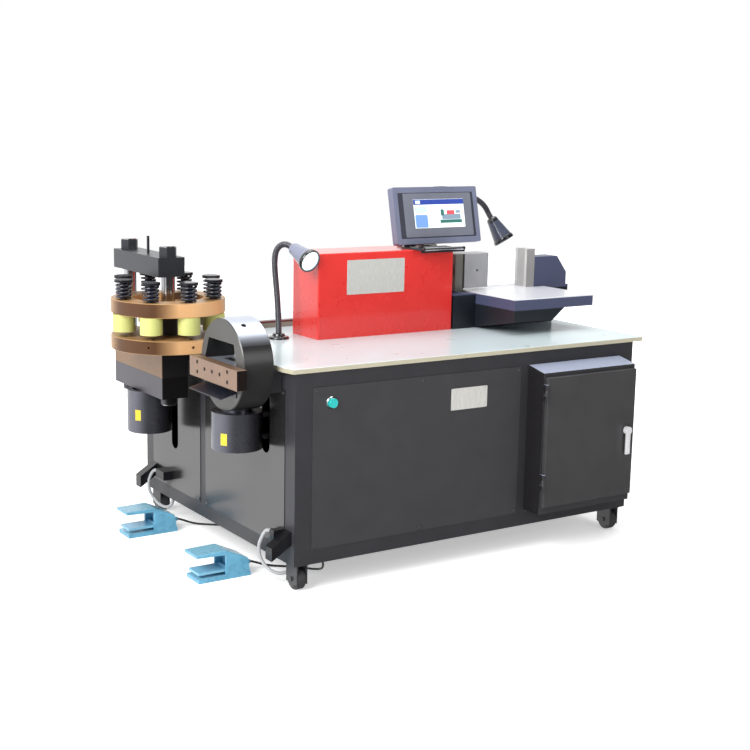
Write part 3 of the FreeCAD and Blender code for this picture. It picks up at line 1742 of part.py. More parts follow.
def slanted_box(y, face):
    outline = [
        (face, "housing_top"),
        ("-housing_reach", "housing_top-housing_drop"),
        ("-housing_reach", "housing_top-housing_drop-housing_height"),
        (face, "housing_top-housing_height"),
    ]
    return plate("xz", outline, y, "housing_width")


GLAND_Z = "hood_bottom+hood_height/2"
FACE = "-panel_sheet"


def connector_housings():
    front = "front_housing_y+housing_width"
    hood = block(("-hood_depth", FACE), (front, f"{front}+hood_length"), ("hood_bottom", "hood_bottom+hood_height"))
    gland = rod("y", "gland_x", f"{front}+hood_length", GLAND_Z, "gland_radius", "gland_length")
    near = fuse(slanted_box("front_housing_y", "0"), hood, gland)
    rear_hood = ("rear_hood_start", "rear_hood_start+rear_hood_length")
    far_hood = block(("-hood_depth", FACE), rear_hood, ("hood_bottom", "hood_bottom+hood_height"))
    far_gland = rod("y", "gland_x", rear_hood[1], GLAND_Z, "gland_radius", "gland_length")
    strip = block(
        ("-gland_radius", FACE),
        (rear_hood[1], "rear_housing_y"),
        ("housing_top-housing_height", "hood_bottom"),
    )
    far = fuse(slanted_box("rear_housing_y", FACE), far_hood, far_gland, strip)
    return node(group([near, far]), "connector_housings")


# Routes of the conduits and the pedal cables, chosen by hand along the photograph
FRONT_CONDUIT = [
    (-24, 110, 197),
    (-24, 135, 197),
    (-26, 157, 184),
    (-31, 175, 153),
    (-33, 185, 128),
    (-32, 187, 101),
    (-27, 179, 76),
    (-19, 162, 57),
    (-6, 141, 42),
    (14, 121, 36),
    (40, 107, 43),
    (56, 101, 67),
    (56, 101, 96),
]
REAR_CONDUIT = [
    (-24, 1032, 197),
    (-24, 1058, 197),
    (-31, 1077, 181),
    (-42, 1079, 157),
    (-46, 1077, 133),
    (-43, 1077, 111),
    (-33, 1078, 89),
    (-22, 1073, 72),
    (-11, 1061, 54),
    (4, 1039, 43),
    (18, 1017, 48),
    (27, 1004, 70),
    (27, 1004, 96),
]
FRONT_CABLE = [
    (-6, 300, 34),
    (14, 300, 27),
    (42, 297, 15),
    (74, 288, 7),
    (108, 270, 4),
    (140, 246, 4),
    (168, 214, 4),
    (188, 178, 6),
    (196, 144, 16),
    (190, 122, 38),
    (174, 111, 68),
    (174, 111, 96),
]
REAR_CABLE = [
    (-6, 896, 34),
    (14, 895, 27),
    (42, 890, 14),
    (72, 878, 6),
    (104, 858, 4),
    (134, 834, 4),
    (164, 812, 4),
    (196, 800, 6),
    (224, 798, 20),
    (242, 798, 44),
    (251, 798, 70),
    (251, 798, 96),
]


def cord(label, places, radius):
    cords.add(label)
    return shaped(label, tube(label, [Vector(*place) for place in places], radius))


# Foot pedals: a cast body with a visor over the treadle, and a heel that holds its pin
sizes(
    "Pedals",
    pedal_left=-228,
    pedal_length=200,
    pedal_width=96,
    rear_pedal_y=848,
    front_pedal_y=252,
    pedal_base=14,
    visor_tip=102,
    visor_tip_thickness=10,
    visor_reach=8,
    visor_break_x=-122,
    visor_break_z=104,
    visor_break_thickness=16,
    heel_front=-98,
    heel_top=66,
    heel_slope=12,
    cheek_front=-124,
    cheek_wall=9,
    pedal_round=4,
    treadle_z=26,
    treadle_thickness=9,
    treadle_tip=3,
    treadle_gap=1,
    pin_x=-110,
    pin_z=31,
    pedal_pin_radius=3,
    pin_boss_radius=8,
    pedal_gland_radius=8,
    pedal_gland_length=22,
    pedal_gland_z=34,
)


def pedal_body(y):
    back = f"{y}+pedal_width"
    right = "pedal_left+pedal_length"
    base = block(("pedal_left", right), (y, back), ("0", "pedal_base"))
    heel = [
        ("heel_front", "0"),
        (right, "0"),
        (f"{right}-heel_slope", "heel_top"),
        ("visor_break_x", "visor_break_z"),
        ("visor_break_x", "visor_break_z-visor_break_thickness"),
        ("heel_front", "visor_break_z-visor_break_thickness"),
    ]
    visor = [
        ("pedal_left-visor_reach", "visor_tip"),
        ("pedal_left-visor_reach", "visor_tip-visor_tip_thickness"),
        ("visor_break_x", "visor_break_z-visor_break_thickness"),
        ("visor_break_x", "visor_break_z"),
    ]
    pieces = [base, plate("xz", heel, y, "pedal_width"), plate("xz", visor, y, "pedal_width")]
    for start in (y, f"{back}-cheek_wall"):
        cheek_z = ("0", "visor_break_z-visor_break_thickness")
        pieces.append(block(("cheek_front", "heel_front"), (start, f"{start}+cheek_wall"), cheek_z))
    pieces.append(rod("y", "pin_x", y, "pin_z", "pedal_pin_radius", "pedal_width"))
    gland_y = f"{y}+pedal_width/2"
    pieces.append(rod("x", f"{right}-heel_slope", gland_y, "pedal_gland_z", "pedal_gland_radius", "pedal_gland_length+heel_slope-overrun"))
    body = fuse(*pieces)
    crown = number("visor_break_z") - number("overrun")
    tip = number("visor_tip") - number("overrun")

    def picks(edge):
        box = edge.BoundBox
        straight = edge.Curve.TypeId == "Part::GeomLine"
        along = abs(edge.Curve.Direction.y) < parallel_share if straight else False
        return along and box.ZMax > tip - 1 and box.XLength > number("pedal_width") / 2

    return edged(body, "pedal_round", picks)


def pedal_bodies():
    return node(group([pedal_body("front_pedal_y"), pedal_body("rear_pedal_y")]), "pedal_bodies")


def treadle(name, y):
    wall = "cheek_wall+treadle_gap"
    span = (f"{y}+{wall}", f"{y}+pedal_width-({wall})")
    board = block(("pedal_left+treadle_tip", "pin_x"), span, ("treadle_z", "treadle_z+treadle_thickness"))
    boss = rod("y", "pin_x", span[0], "pin_z", "pin_boss_radius", f"{span[1]}-({span[0]})")
    bore = rod("y", "pin_x", f"{y}-overrun", "pin_z", "pedal_pin_radius+running_gap", "pedal_width+2*overrun")
    return node(cut(fuse(board, boss), bore), "pedal_tread_" + name)


# Hydraulic power pack inside the cabinet: tank, motor with pump, valve block
sizes(
    "Hydraulic pack",
    tank_left=500,
    tank_length=500,
    tank_front=600,
    tank_width=400,
    tank_height=300,
    motor_x=640,
    motor_y=800,
    motor_radius=90,
    motor_height=250,
    valve_left=780,
    valve_front=740,
    valve_length=180,
    valve_width=120,
    valve_height=120,
)


def hydraulic_pack():
    floor = "floor_gap+floor_sheet"
    tank = block(
        ("tank_left", "tank_left+tank_length"),
        ("tank_front", "tank_front+tank_width"),
        (floor, f"{floor}+tank_height"),
    )
    motor = rod("z", "motor_x", "motor_y", f"{floor}+tank_height", "motor_radius", "motor_height")
    valve = block(
        ("valve_left", "valve_left+valve_length"),
        ("valve_front", "valve_front+valve_width"),
        (f"{floor}+tank_height", f"{floor}+tank_height+valve_height"),
    )
    return node(group([tank, motor, valve]), "hydraulic_pack")


base_frame()
front_panels()
end_panels()
rear_panel()
panel_screws()
start_button()
worktop()
turret_discs()
stripper_sleeves()
punches()
active_punch()
springs()
crosshead()
tie_rods()
punch_yoke()
punch_cylinder()
punch_piston()
die_block()
turret_spindle()
shear_head()
shear_lower_blade()
shear_upper_blade()
shear_guide_block()
shear_chute()
shear_cylinder()
unit_brackets()
bend_cylinder()
bend_ram()
bend_punch()
bend_die()
bend_bed()
bend_table()
bend_table_top()
red_cover()
fence_rail()
caster_forks()
for name, (x, y) in WHEELS.items():
    caster_wheel(name, x, y)
electric_box()
box_door()
door_handle()
electric_equipment()
screen_case()
screen_glass()
screen_post()
lamps()
connector_housings()
cord("conduit_front", FRONT_CONDUIT, number("conduit_radius"))
cord("conduit_rear", REAR_CONDUIT, number("conduit_radius"))
cord("pedal_cable_front", FRONT_CABLE, number("cable_radius"))
cord("pedal_cable_rear", REAR_CABLE, number("cable_radius"))
pedal_bodies()
treadle("front", "front_pedal_y")
treadle("rear", "rear_pedal_y")
hydraulic_pack()

doc.recompute()
failed = [thing.Label for thing in doc.Objects if {"Invalid", "Error"} & set(thing.State)]
if failed:
    raise SystemExit("failed objects: " + ", ".join(failed))
for label, thing in nodes.items():
    if thing.Shape.isNull() or not thing.Shape.isValid() or not thing.Shape.Solids:
        raise SystemExit(f"{label} has no valid solid")

# The origin is the middle of the machine's own footprint, on the floor
limits = FreeCAD.BoundBox()
for label, thing in nodes.items():
    if label not in cords:
        limits.add(thing.Shape.optimalBoundingBox(False, False))
shift = Vector(-limits.Center.x, -limits.Center.y, -limits.ZMin)
os.makedirs("parts", exist_ok=True)
for label, thing in nodes.items():
    shape = thing.Shape.copy()
    shape.translate(shift)
    shape.exportStep(os.path.join("parts", label + ".step"))
print("nodes", len(nodes), "shift", *[round(value, 3) for value in shift])
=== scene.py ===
"""Dresses a hydraulic busbar machine: turret punch, shear and bending unit on a wheeled cabinet."""
import bpy
import math
import numpy as np
from mathutils import Matrix, Vector


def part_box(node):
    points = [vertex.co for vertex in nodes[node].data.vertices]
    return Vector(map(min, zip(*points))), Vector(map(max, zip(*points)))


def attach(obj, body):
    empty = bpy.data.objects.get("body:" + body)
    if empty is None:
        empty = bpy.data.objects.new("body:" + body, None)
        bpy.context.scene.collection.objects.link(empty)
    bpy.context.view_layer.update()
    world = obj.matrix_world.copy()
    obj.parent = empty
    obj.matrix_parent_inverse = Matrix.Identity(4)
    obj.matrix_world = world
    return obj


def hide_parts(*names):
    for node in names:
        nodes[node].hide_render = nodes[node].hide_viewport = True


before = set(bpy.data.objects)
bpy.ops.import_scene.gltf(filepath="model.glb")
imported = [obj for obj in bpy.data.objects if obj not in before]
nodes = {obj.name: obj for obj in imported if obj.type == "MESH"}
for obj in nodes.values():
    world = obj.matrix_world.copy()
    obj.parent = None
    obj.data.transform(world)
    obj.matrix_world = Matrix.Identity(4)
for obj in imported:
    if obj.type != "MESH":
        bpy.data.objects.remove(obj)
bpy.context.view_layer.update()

# The room: a white floor and backdrop, and soft lights from the left, from above and from the front.
# Shiny faces see a bright room behind and to the left, and a dark one in front.
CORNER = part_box("base_frame")[0]
FLOOR_COLOUR = (0.93, 0.93, 0.93)
FLOOR_GLOWS = (0.42, 1.0)
GLOW_REACH = (1.4, 3.4)
FLOOR_HALF = 9.0
FILL_LEVEL = 0.42
BRIGHT_SIDE = (-0.5, 0.79, 0.36)
GLOSS_REACH = (-0.45, 0.75)
GLOSS_LEVELS = (0.06, 1.45)
LAMP_AIM = (0.0, 0.0, 0.6)
LAMPS = {
    "key": ((-4.6, -1.9, 3.6), 3.0, 330.0),
    "top": ((0.4, 0.2, 5.0), 3.6, 150.0),
    "front": ((1.6, -5.4, 2.8), 2.4, 62.0),
}
CAMERA_PLACE = (-2178.4, -3757.1, 1567.6)
CAMERA_RIGHT = (0.8356, -0.5490, 0.0196)
CAMERA_UP = (0.0848, 0.1642, 0.9828)
CAMERA_LENS = 65.0
MM = 0.001


def at(x, y, z):
    """The frame's metres of a place in millimetres from the cabinet's front left corner and the floor."""
    return np.array((CORNER[0] + x * MM, CORNER[1] + y * MM, z * MM))


def unit(vector):
    """The vector divided by its own length."""
    vector = np.asarray(vector, dtype=float)
    return vector / np.linalg.norm(vector)


def put_mesh(name, points, faces, crease=40.0):
    """An object at the origin from an array of points and a list of faces, smooth except over creases."""
    mesh = bpy.data.meshes.new(name)
    mesh.from_pydata(np.asarray(points).reshape(-1, 3).tolist(), [], faces)
    mesh.polygons.foreach_set("use_smooth", [True] * len(mesh.polygons))
    mesh.set_sharp_from_angle(angle=math.radians(crease))
    made = bpy.data.objects.new(name, mesh)
    bpy.context.scene.collection.objects.link(made)
    return made


def shader_of(material):
    """The material's Principled shader."""
    return material.node_tree.nodes["Principled BSDF"]


def turn_to(aim):
    """Rotation that points an object's own -Z along aim."""
    return Vector(aim).to_track_quat("-Z", "Y").to_euler()


def plain_material(name, colour, roughness, metallic=0.0):
    """A Principled material with one colour; the functions of the later sections add its pattern."""
    material = bpy.data.materials.new(name)
    material.use_nodes = True
    shader = shader_of(material)
    shader.inputs["Base Color"].default_value = (*colour[:3], 1.0)
    shader.inputs["Roughness"].default_value = roughness
    shader.inputs["Metallic"].default_value = metallic
    return material


def lay_floor():
    """A white floor that glows more with distance, so that it meets the backdrop without an edge."""
    corners = [(-1, -1), (1, -1), (1, 1), (-1, 1)]
    floor = put_mesh("floor", [(x * FLOOR_HALF, y * FLOOR_HALF, 0.0) for x, y in corners], [(0, 1, 2, 3)])
    paper = plain_material("floor paper", FLOOR_COLOUR, 0.9)
    shader_of(paper).inputs["Emission Color"].default_value = (1.0, 1.0, 1.0, 1.0)
    spot = paper.node_tree.nodes.new("ShaderNodeTexCoord")
    away = paper.node_tree.nodes.new("ShaderNodeVectorMath")
    away.operation = "LENGTH"
    glow = paper.node_tree.nodes.new("ShaderNodeMapRange")
    glow.inputs["From Min"].default_value, glow.inputs["From Max"].default_value = GLOW_REACH
    glow.inputs["To Min"].default_value, glow.inputs["To Max"].default_value = FLOOR_GLOWS
    paper.node_tree.links.new(spot.outputs["Object"], away.inputs[0])
    paper.node_tree.links.new(away.outputs["Value"], glow.inputs["Value"])
    paper.node_tree.links.new(glow.outputs["Result"], shader_of(paper).inputs["Emission Strength"])
    floor.data.materials.append(paper)
    floor.visible_glossy = False


def hang_lights():
    """The soft square lights, all aimed at the middle of the machine."""
    for name, (place, size, power) in LAMPS.items():
        light = bpy.data.lights.new(name, "AREA")
        light.shape = "SQUARE"
        light.size = size
        light.energy = power
        lamp = bpy.data.objects.new(name, light)
        lamp.location = place
        lamp.rotation_euler = turn_to(np.array(LAMP_AIM) - np.array(place))
        bpy.context.scene.collection.objects.link(lamp)


def paint_backdrop():
    """White for the camera, dimmer as fill light, and from dark to bright by direction for shiny faces."""
    world = bpy.data.worlds.new("studio")
    bpy.context.scene.world = world
    world.use_nodes = True
    tree = world.node_tree
    background = tree.nodes["Background"]
    background.inputs["Color"].default_value = (1.0, 1.0, 1.0, 1.0)
    path = tree.nodes.new("ShaderNodeLightPath")
    heading = tree.nodes.new("ShaderNodeTexCoord")
    turn = tree.nodes.new("ShaderNodeVectorMath")
    turn.operation = "DOT_PRODUCT"
    turn.inputs[1].default_value = unit(BRIGHT_SIDE)
    tree.links.new(heading.outputs["Generated"], turn.inputs[0])
    gloss = tree.nodes.new("ShaderNodeMapRange")
    gloss.interpolation_type = "SMOOTHSTEP"
    gloss.inputs["From Min"].default_value, gloss.inputs["From Max"].default_value = GLOSS_REACH
    gloss.inputs["To Min"].default_value, gloss.inputs["To Max"].default_value = GLOSS_LEVELS
    tree.links.new(turn.outputs["Value"], gloss.inputs["Value"])
    levels = {"Is Glossy Ray": gloss.outputs["Result"], "Is Camera Ray": 1.0, "Is Transmission Ray": 1.0}
    total = FILL_LEVEL
    for ray, level in levels.items():
        mix = tree.nodes.new("ShaderNodeMix")
        tree.links.new(path.outputs[ray], mix.inputs["Factor"])
        for socket, value in (("A", total), ("B", level)):
            if isinstance(value, float):
                mix.inputs[socket].default_value = value
            else:
                tree.links.new(value, mix.inputs[socket])
        total = mix.outputs["Result"]
    tree.links.new(total, background.inputs["Strength"])


def stand_camera():
    """Right, up and backward directions are the columns of the camera's rotation."""
    right, up = unit(CAMERA_RIGHT), unit(CAMERA_UP)
    turn = np.eye(4)
    turn[:3, :4] = np.stack([right, up, np.cross(right, up), at(*CAMERA_PLACE)], axis=1)
    eye = bpy.data.cameras.new("camera")
    eye.lens = CAMERA_LENS
    camera = bpy.data.objects.new("camera", eye)
    camera.matrix_world = Matrix(turn.tolist())
    bpy.context.scene.collection.objects.link(camera)
    bpy.context.scene.camera = camera


lay_floor()
hang_lights()
paint_backdrop()
stand_camera()
bpy.context.scene.view_settings.view_transform = "Standard"


# Cords: two grey ribbed conduits loop from the connectors on the left end to the floor plate.
# Two black cables run from the pedals over the floor and up under the cabinet, all at their real length.
CONDUIT_RADIUS = 6.5
CONDUIT_PITCH = 0.0042
CONDUIT_DEPTH = 0.0008
CABLE_RADIUS = 4.0
FRONT_CONDUIT = [
    (-24, 110, 197),
    (-24, 135, 197),
    (-26, 157, 184),
    (-31, 175, 153),
    (-33, 185, 128),
    (-32, 187, 101),
    (-27, 179, 76),
    (-19, 162, 57),
    (-6, 141, 42),
    (14, 121, 36),
    (40, 107, 43),
    (56, 101, 67),
    (56, 101, 96),
]
REAR_CONDUIT = [
    (-24, 1032, 197),
    (-24, 1058, 197),
    (-31, 1077, 181),
    (-42, 1079, 157),
    (-46, 1077, 133),
    (-43, 1077, 111),
    (-33, 1078, 89),
    (-22, 1073, 72),
    (-11, 1061, 54),
    (4, 1039, 43),
    (18, 1017, 48),
    (27, 1004, 70),
    (27, 1004, 96),
]
FRONT_CABLE = [
    (-6, 300, 34),
    (14, 300, 27),
    (42, 297, 15),
    (74, 288, 7),
    (108, 270, 4),
    (140, 246, 4),
    (168, 214, 4),
    (188, 178, 6),
    (196, 144, 16),
    (190, 122, 38),
    (174, 111, 68),
    (174, 111, 96),
]
REAR_CABLE = [
    (-6, 896, 34),
    (14, 895, 27),
    (42, 890, 14),
    (72, 878, 6),
    (104, 858, 4),
    (134, 834, 4),
    (164, 812, 4),
    (196, 800, 6),
    (224, 798, 20),
    (242, 798, 44),
    (251, 798, 70),
    (251, 798, 96),
]


def route_curve(name, places, radius=0.0):
    """A smooth NURBS line with the route's places as control points, thickened to the radius."""
    curve = bpy.data.curves.new(name, "CURVE")
    curve.dimensions = "3D"
    spline = curve.splines.new("NURBS")
    spline.points.add(len(places) - 1)
    for point, place in zip(spline.points, places):
        point.co = (*at(*place), 1.0)
    spline.order_u = 3
    spline.use_endpoint_u = True
    spline.resolution_u = 8
    curve.bevel_depth = radius * MM
    curve.bevel_resolution = 6
    curve.use_fill_caps = True
    made = bpy.data.objects.new(name, curve)
    bpy.context.scene.collection.objects.link(made)
    return made


def route_points(name, places):
    """Points along the route's smooth line, read from the line itself."""
    line = route_curve(name + "_line", places)
    bpy.context.view_layer.update()
    mesh = bpy.data.meshes.new_from_object(line)
    points = np.empty(3 * len(mesh.vertices))
    mesh.vertices.foreach_get("co", points)
    bpy.data.objects.remove(line)
    return points.reshape(-1, 3)


def even_steps(points, count):
    """The same line with count points at equal distances along it."""
    run = np.r_[0.0, np.cumsum(np.linalg.norm(np.diff(points, axis=0), axis=1))]
    steps = np.linspace(0.0, run[-1], count)
    return np.stack([np.interp(steps, run, points[:, axis]) for axis in range(3)], axis=1)


def carried_frames(points):
    """Two directions square to the line at each point, turned as little as possible from point to point."""
    along = np.gradient(points, axis=0)
    along /= np.linalg.norm(along, axis=1)[:, None]
    side = unit(np.cross(along[0], (0.3, 0.5, 0.8)))
    sides = []
    for heading in along:
        side = unit(side - heading * (side @ heading))
        sides.append(side)
    sides = np.array(sides)
    return sides, np.cross(along, sides)


def ring_quads(here, there):
    """Four-cornered faces between rows of point numbers, closed round each ring."""
    around = [here, np.roll(here, -1, axis=1), np.roll(there, -1, axis=1), there]
    return np.stack(around, axis=-1).reshape(-1, 4)


def turned_out(points, quads, faces):
    """The faces, each the other way round if together they face inwards."""
    corners = points[quads] - points.mean(axis=0)
    volume = np.einsum("ij,ij->i", corners[:, 0], np.cross(corners[:, 1], corners[:, 2])).sum()
    volume += np.einsum("ij,ij->i", corners[:, 0], np.cross(corners[:, 2], corners[:, 3])).sum()
    return [face[::-1] for face in faces] if volume < 0 else faces


def rings_mesh(name, rings, crease=40.0):
    """One closed skin through rings of equal point counts, with a flat face on each end, facing outwards."""
    rings = np.asarray(rings, dtype=float)
    rows, columns = rings.shape[:2]
    index = np.arange(rows * columns).reshape(rows, columns)
    quads = ring_quads(index[:-1], index[1:])
    faces = quads.tolist() + [index[0, ::-1].tolist(), index[-1].tolist()]
    points = rings.reshape(-1, 3)
    return put_mesh(name, points, turned_out(points, quads, faces), crease)


def tube_mesh(name, points, radii, sides=16):
    """A circle of the given radii carried along the points."""
    first, second = carried_frames(points)
    angle = np.linspace(0.0, 2.0 * math.pi, sides, endpoint=False)
    across = np.cos(angle)[None, :, None] * first[:, None, :]
    circle = across + np.sin(angle)[None, :, None] * second[:, None, :]
    return rings_mesh(name, points[:, None, :] + circle * np.asarray(radii)[:, None, None], crease=80.0)


def ribbed(name, points, radius, pitch, depth, steps=6):
    """A tube whose radius falls by depth between ribs, as a cosine along its length, plain at both ends."""
    length = np.linalg.norm(np.diff(points, axis=0), axis=1).sum()
    ribs = max(2, round(length / pitch))
    points = even_steps(points, ribs * steps + 1)
    share = np.arange(len(points)) / steps
    fall = 0.5 - 0.5 * np.cos(2.0 * math.pi * share)
    fall[:steps] = 0.0
    fall[-steps:] = 0.0
    return tube_mesh(name, points, radius - depth * fall)


def pattern(material, scale, detail=3.0, stretch=(1.0, 1.0, 1.0)):
    """A noise on the object's own coordinates, with its cells drawn out along an axis by stretch."""
    tree = material.node_tree
    place = tree.nodes.new("ShaderNodeTexCoord")
    mapping = tree.nodes.new("ShaderNodeMapping")
    mapping.inputs["Scale"].default_value = stretch
    noise = tree.nodes.new("ShaderNodeTexNoise")
    noise.inputs["Scale"].default_value = scale
    noise.inputs["Detail"].default_value = detail
    tree.links.new(place.outputs["Object"], mapping.inputs["Vector"])
    tree.links.new(mapping.outputs["Vector"], noise.inputs["Vector"])
    return noise.outputs["Fac"]


def mixed(material, factor, dark, light, low=0.3, high=0.7):
    """A colour between dark and light, as the factor goes from low to high."""
    tree = material.node_tree
    ramp = tree.nodes.new("ShaderNodeValToRGB")
    ramp.color_ramp.elements[0].position = low
    ramp.color_ramp.elements[1].position = high
    ramp.color_ramp.elements[0].color = (*dark, 1.0)
    ramp.color_ramp.elements[1].color = (*light, 1.0)
    tree.links.new(factor, ramp.inputs["Fac"])
    return ramp.outputs["Color"]


def tinted(material, factor, colour, change):
    """Lets the base colour vary by the given share to either side of the colour."""
    dark = tuple(max(0.0, v * (1.0 - change)) for v in colour)
    light = tuple(min(1.0, v * (1.0 + change)) for v in colour)
    shader = shader_of(material)
    material.node_tree.links.new(mixed(material, factor, dark, light), shader.inputs["Base Color"])


def roughened(material, factor, low, high):
    """Lets the roughness run from low to high with the factor."""
    tree = material.node_tree
    span = tree.nodes.new("ShaderNodeMapRange")
    span.inputs["To Min"].default_value = low
    span.inputs["To Max"].default_value = high
    tree.links.new(factor, span.inputs["Value"])
    tree.links.new(span.outputs["Result"], shader_of(material).inputs["Roughness"])


def raised(material, height, depth, strength=0.6):
    """Bumps of the given depth in metres where the height pattern is high."""
    tree = material.node_tree
    bump = tree.nodes.new("ShaderNodeBump")
    bump.inputs["Strength"].default_value = strength
    bump.inputs["Distance"].default_value = depth
    tree.links.new(height, bump.inputs["Height"])
    tree.links.new(bump.outputs["Normal"], shader_of(material).inputs["Normal"])


def paint(
    name, colour, roughness, change=0.06, patch=0.09, grain=0.0016, depth=0.00012, metallic=0.0, coat=0.0
):
    """Sprayed paint: slow drift of colour and gloss, and the fine pebbles of the sprayed film."""
    material = plain_material(name, colour, roughness, metallic)
    slow = pattern(material, 1.0 / patch)
    tinted(material, slow, colour, change)
    roughened(material, slow, roughness - 0.07, roughness + 0.07)
    raised(material, pattern(material, 1.0 / grain, detail=2.0), depth, strength=0.35)
    shader_of(material).inputs["Coat Weight"].default_value = coat
    return material


def dress(material, *names):
    """Gives CAD nodes the material."""
    for name in names:
        for place in nodes[name].material_slots:
            place.material = material


def cord_sections():
    """The visible conduits and cables, each in the place of its plain CAD tube."""
    conduit = paint("grey conduit", (0.42, 0.43, 0.44), 0.38, change=0.1, grain=0.004)
    cable = paint("black cable", (0.03, 0.03, 0.032), 0.45, change=0.15)
    for name, route, node in (
        ("front_conduit", FRONT_CONDUIT, "conduit_front"),
        ("rear_conduit", REAR_CONDUIT, "conduit_rear"),
    ):
        line = route_points(name, route)
        piece = ribbed(name, line, CONDUIT_RADIUS * MM, CONDUIT_PITCH, CONDUIT_DEPTH)
        piece.data.materials.append(conduit)
        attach(piece, "root")
        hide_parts(node)
    for name, route, node in (
        ("front_cable", FRONT_CABLE, "pedal_cable_front"),
        ("rear_cable", REAR_CABLE, "pedal_cable_rear"),
    ):
        line = route_points(name, route)
        piece = route_curve(name, route, CABLE_RADIUS)
        piece.data.materials.append(cable)
        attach(piece, "root")
        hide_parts(node)


cord_sections()


# Cabinet: square tubes welded into a frame, sheet panels screwed on, all in grey-black powder coat.
# The end panels have a smooth metallic film that mirrors the cylinders before them.
FRAME_BLACK = (0.032, 0.032, 0.036)
PANEL_BLACK = (0.040, 0.039, 0.042)
END_GREY = (0.115, 0.112, 0.113)

frame_coat = paint("frame coat", FRAME_BLACK, 0.4)
shader_of(frame_coat).inputs["Specular IOR Level"].default_value = 0.3
dress(frame_coat, "base_frame", "unit_brackets")
dress(paint("panel coat", PANEL_BLACK, 0.42, coat=0.2), "front_panels", "rear_panel")
end_coat = paint("end panel coat", END_GREY, 0.22, change=0.03, patch=0.4, depth=0.00001, metallic=0.85)
dress(end_coat, "end_panels")
dress(paint("zinc screws", (0.2, 0.2, 0.21), 0.35, metallic=0.8), "panel_screws")


# Worktop: a thick sheet steel top in cold white gloss paint.
# Its top faces are white and its side faces a darker beige, by the way each face turns.
WORKTOP_WHITE = (0.57, 0.665, 0.69)
EDGE_BEIGE = (0.42, 0.39, 0.29)
NEAR_BLACK = (0.012, 0.011, 0.012)
UP = (0.0, 0.0, 1.0)
FRONT = (0.0, -1.0, 0.0)
LEFT = (-1.0, 0.0, 0.0)


def sided(material, direction, facing, low=0.5, high=0.8):
    """The base colour goes from its own pattern to facing as the surface turns to the direction; below, this
    mostly paints light and shade by facing.
    """
    tree = material.node_tree
    surface = tree.nodes.new("ShaderNodeNewGeometry")
    turn = tree.nodes.new("ShaderNodeVectorMath")
    turn.operation = "DOT_PRODUCT"
    turn.inputs[1].default_value = unit(direction)
    tree.links.new(surface.outputs["Normal"], turn.inputs[0])
    factor = tree.nodes.new("ShaderNodeMapRange")
    factor.inputs["From Min"].default_value = low
    factor.inputs["From Max"].default_value = high
    tree.links.new(turn.outputs["Value"], factor.inputs["Value"])
    blend = tree.nodes.new("ShaderNodeMix")
    blend.data_type = "RGBA"
    tree.links.new(factor.outputs["Result"], blend.inputs["Factor"])
    base = shader_of(material).inputs["Base Color"]
    tree.links.new(base.links[0].from_socket, blend.inputs["A"])
    blend.inputs["B"].default_value = (*facing, 1.0)
    tree.links.new(blend.outputs["Result"], base)
    return material


top_paint = paint("worktop paint", EDGE_BEIGE, 0.3, change=0.02, coat=0.2)
dress(sided(top_paint, UP, WORKTOP_WHITE), "worktop")


# Start button: a teal mushroom head at the upper left of the front panel.
# A chromed ring sits round its stem, flat on the sheet.
dress(paint("teal plastic", (0.02, 0.42, 0.4), 0.25, coat=0.5, depth=0.00003), "start_button")


def turned_rings(centre, axis, profile, sides=40):
    """A profile of (radius, height) pairs in millimetres turned about the axis through the centre."""
    axis = unit(axis)
    side = unit(np.cross(axis, (0.31, 0.77, 0.55)))
    other = np.cross(axis, side)
    angle = np.linspace(0.0, 2.0 * math.pi, sides, endpoint=False)
    circle = np.cos(angle)[:, None] * side + np.sin(angle)[:, None] * other
    profile = np.asarray(profile, dtype=float) * MM
    return np.asarray(centre) + profile[:, 0, None, None] * circle + profile[:, 1, None, None] * axis


def hollow_turned(name, centre, axis, profile, sides=40):
    """The profile turned and closed on itself, so that the piece is a ring with a hole."""
    rings = turned_rings(centre, axis, profile, sides)
    rows, columns = rings.shape[:2]
    index = np.arange(rows * columns).reshape(rows, columns)
    quads = ring_quads(index, np.roll(index, -1, axis=0))
    points = rings.reshape(-1, 3)
    return put_mesh(name, points, turned_out(points, quads, quads.tolist()))


def fixed(piece, material, body="root"):
    """Finishes a piece that rides on a body."""
    piece.data.materials.append(material)
    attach(piece, body)
    return piece


chrome = plain_material("chrome", (0.72, 0.72, 0.73), 0.12, 1.0)
roughened(chrome, pattern(chrome, 160.0), 0.08, 0.22)
button_ring = hollow_turned(
    "button_ring", at(138, -2, 647), (0, -1, 0), [(17.2, 0.1), (21, 0.1), (21, 2.4), (19.6, 4), (17.2, 4)],
)
fixed(button_ring, chrome)


# Wheels: pale cast centres with black tyres, one under each corner of the cabinet.
# Their forks are folded black sheet.
TYRE_EDGE = 0.0285


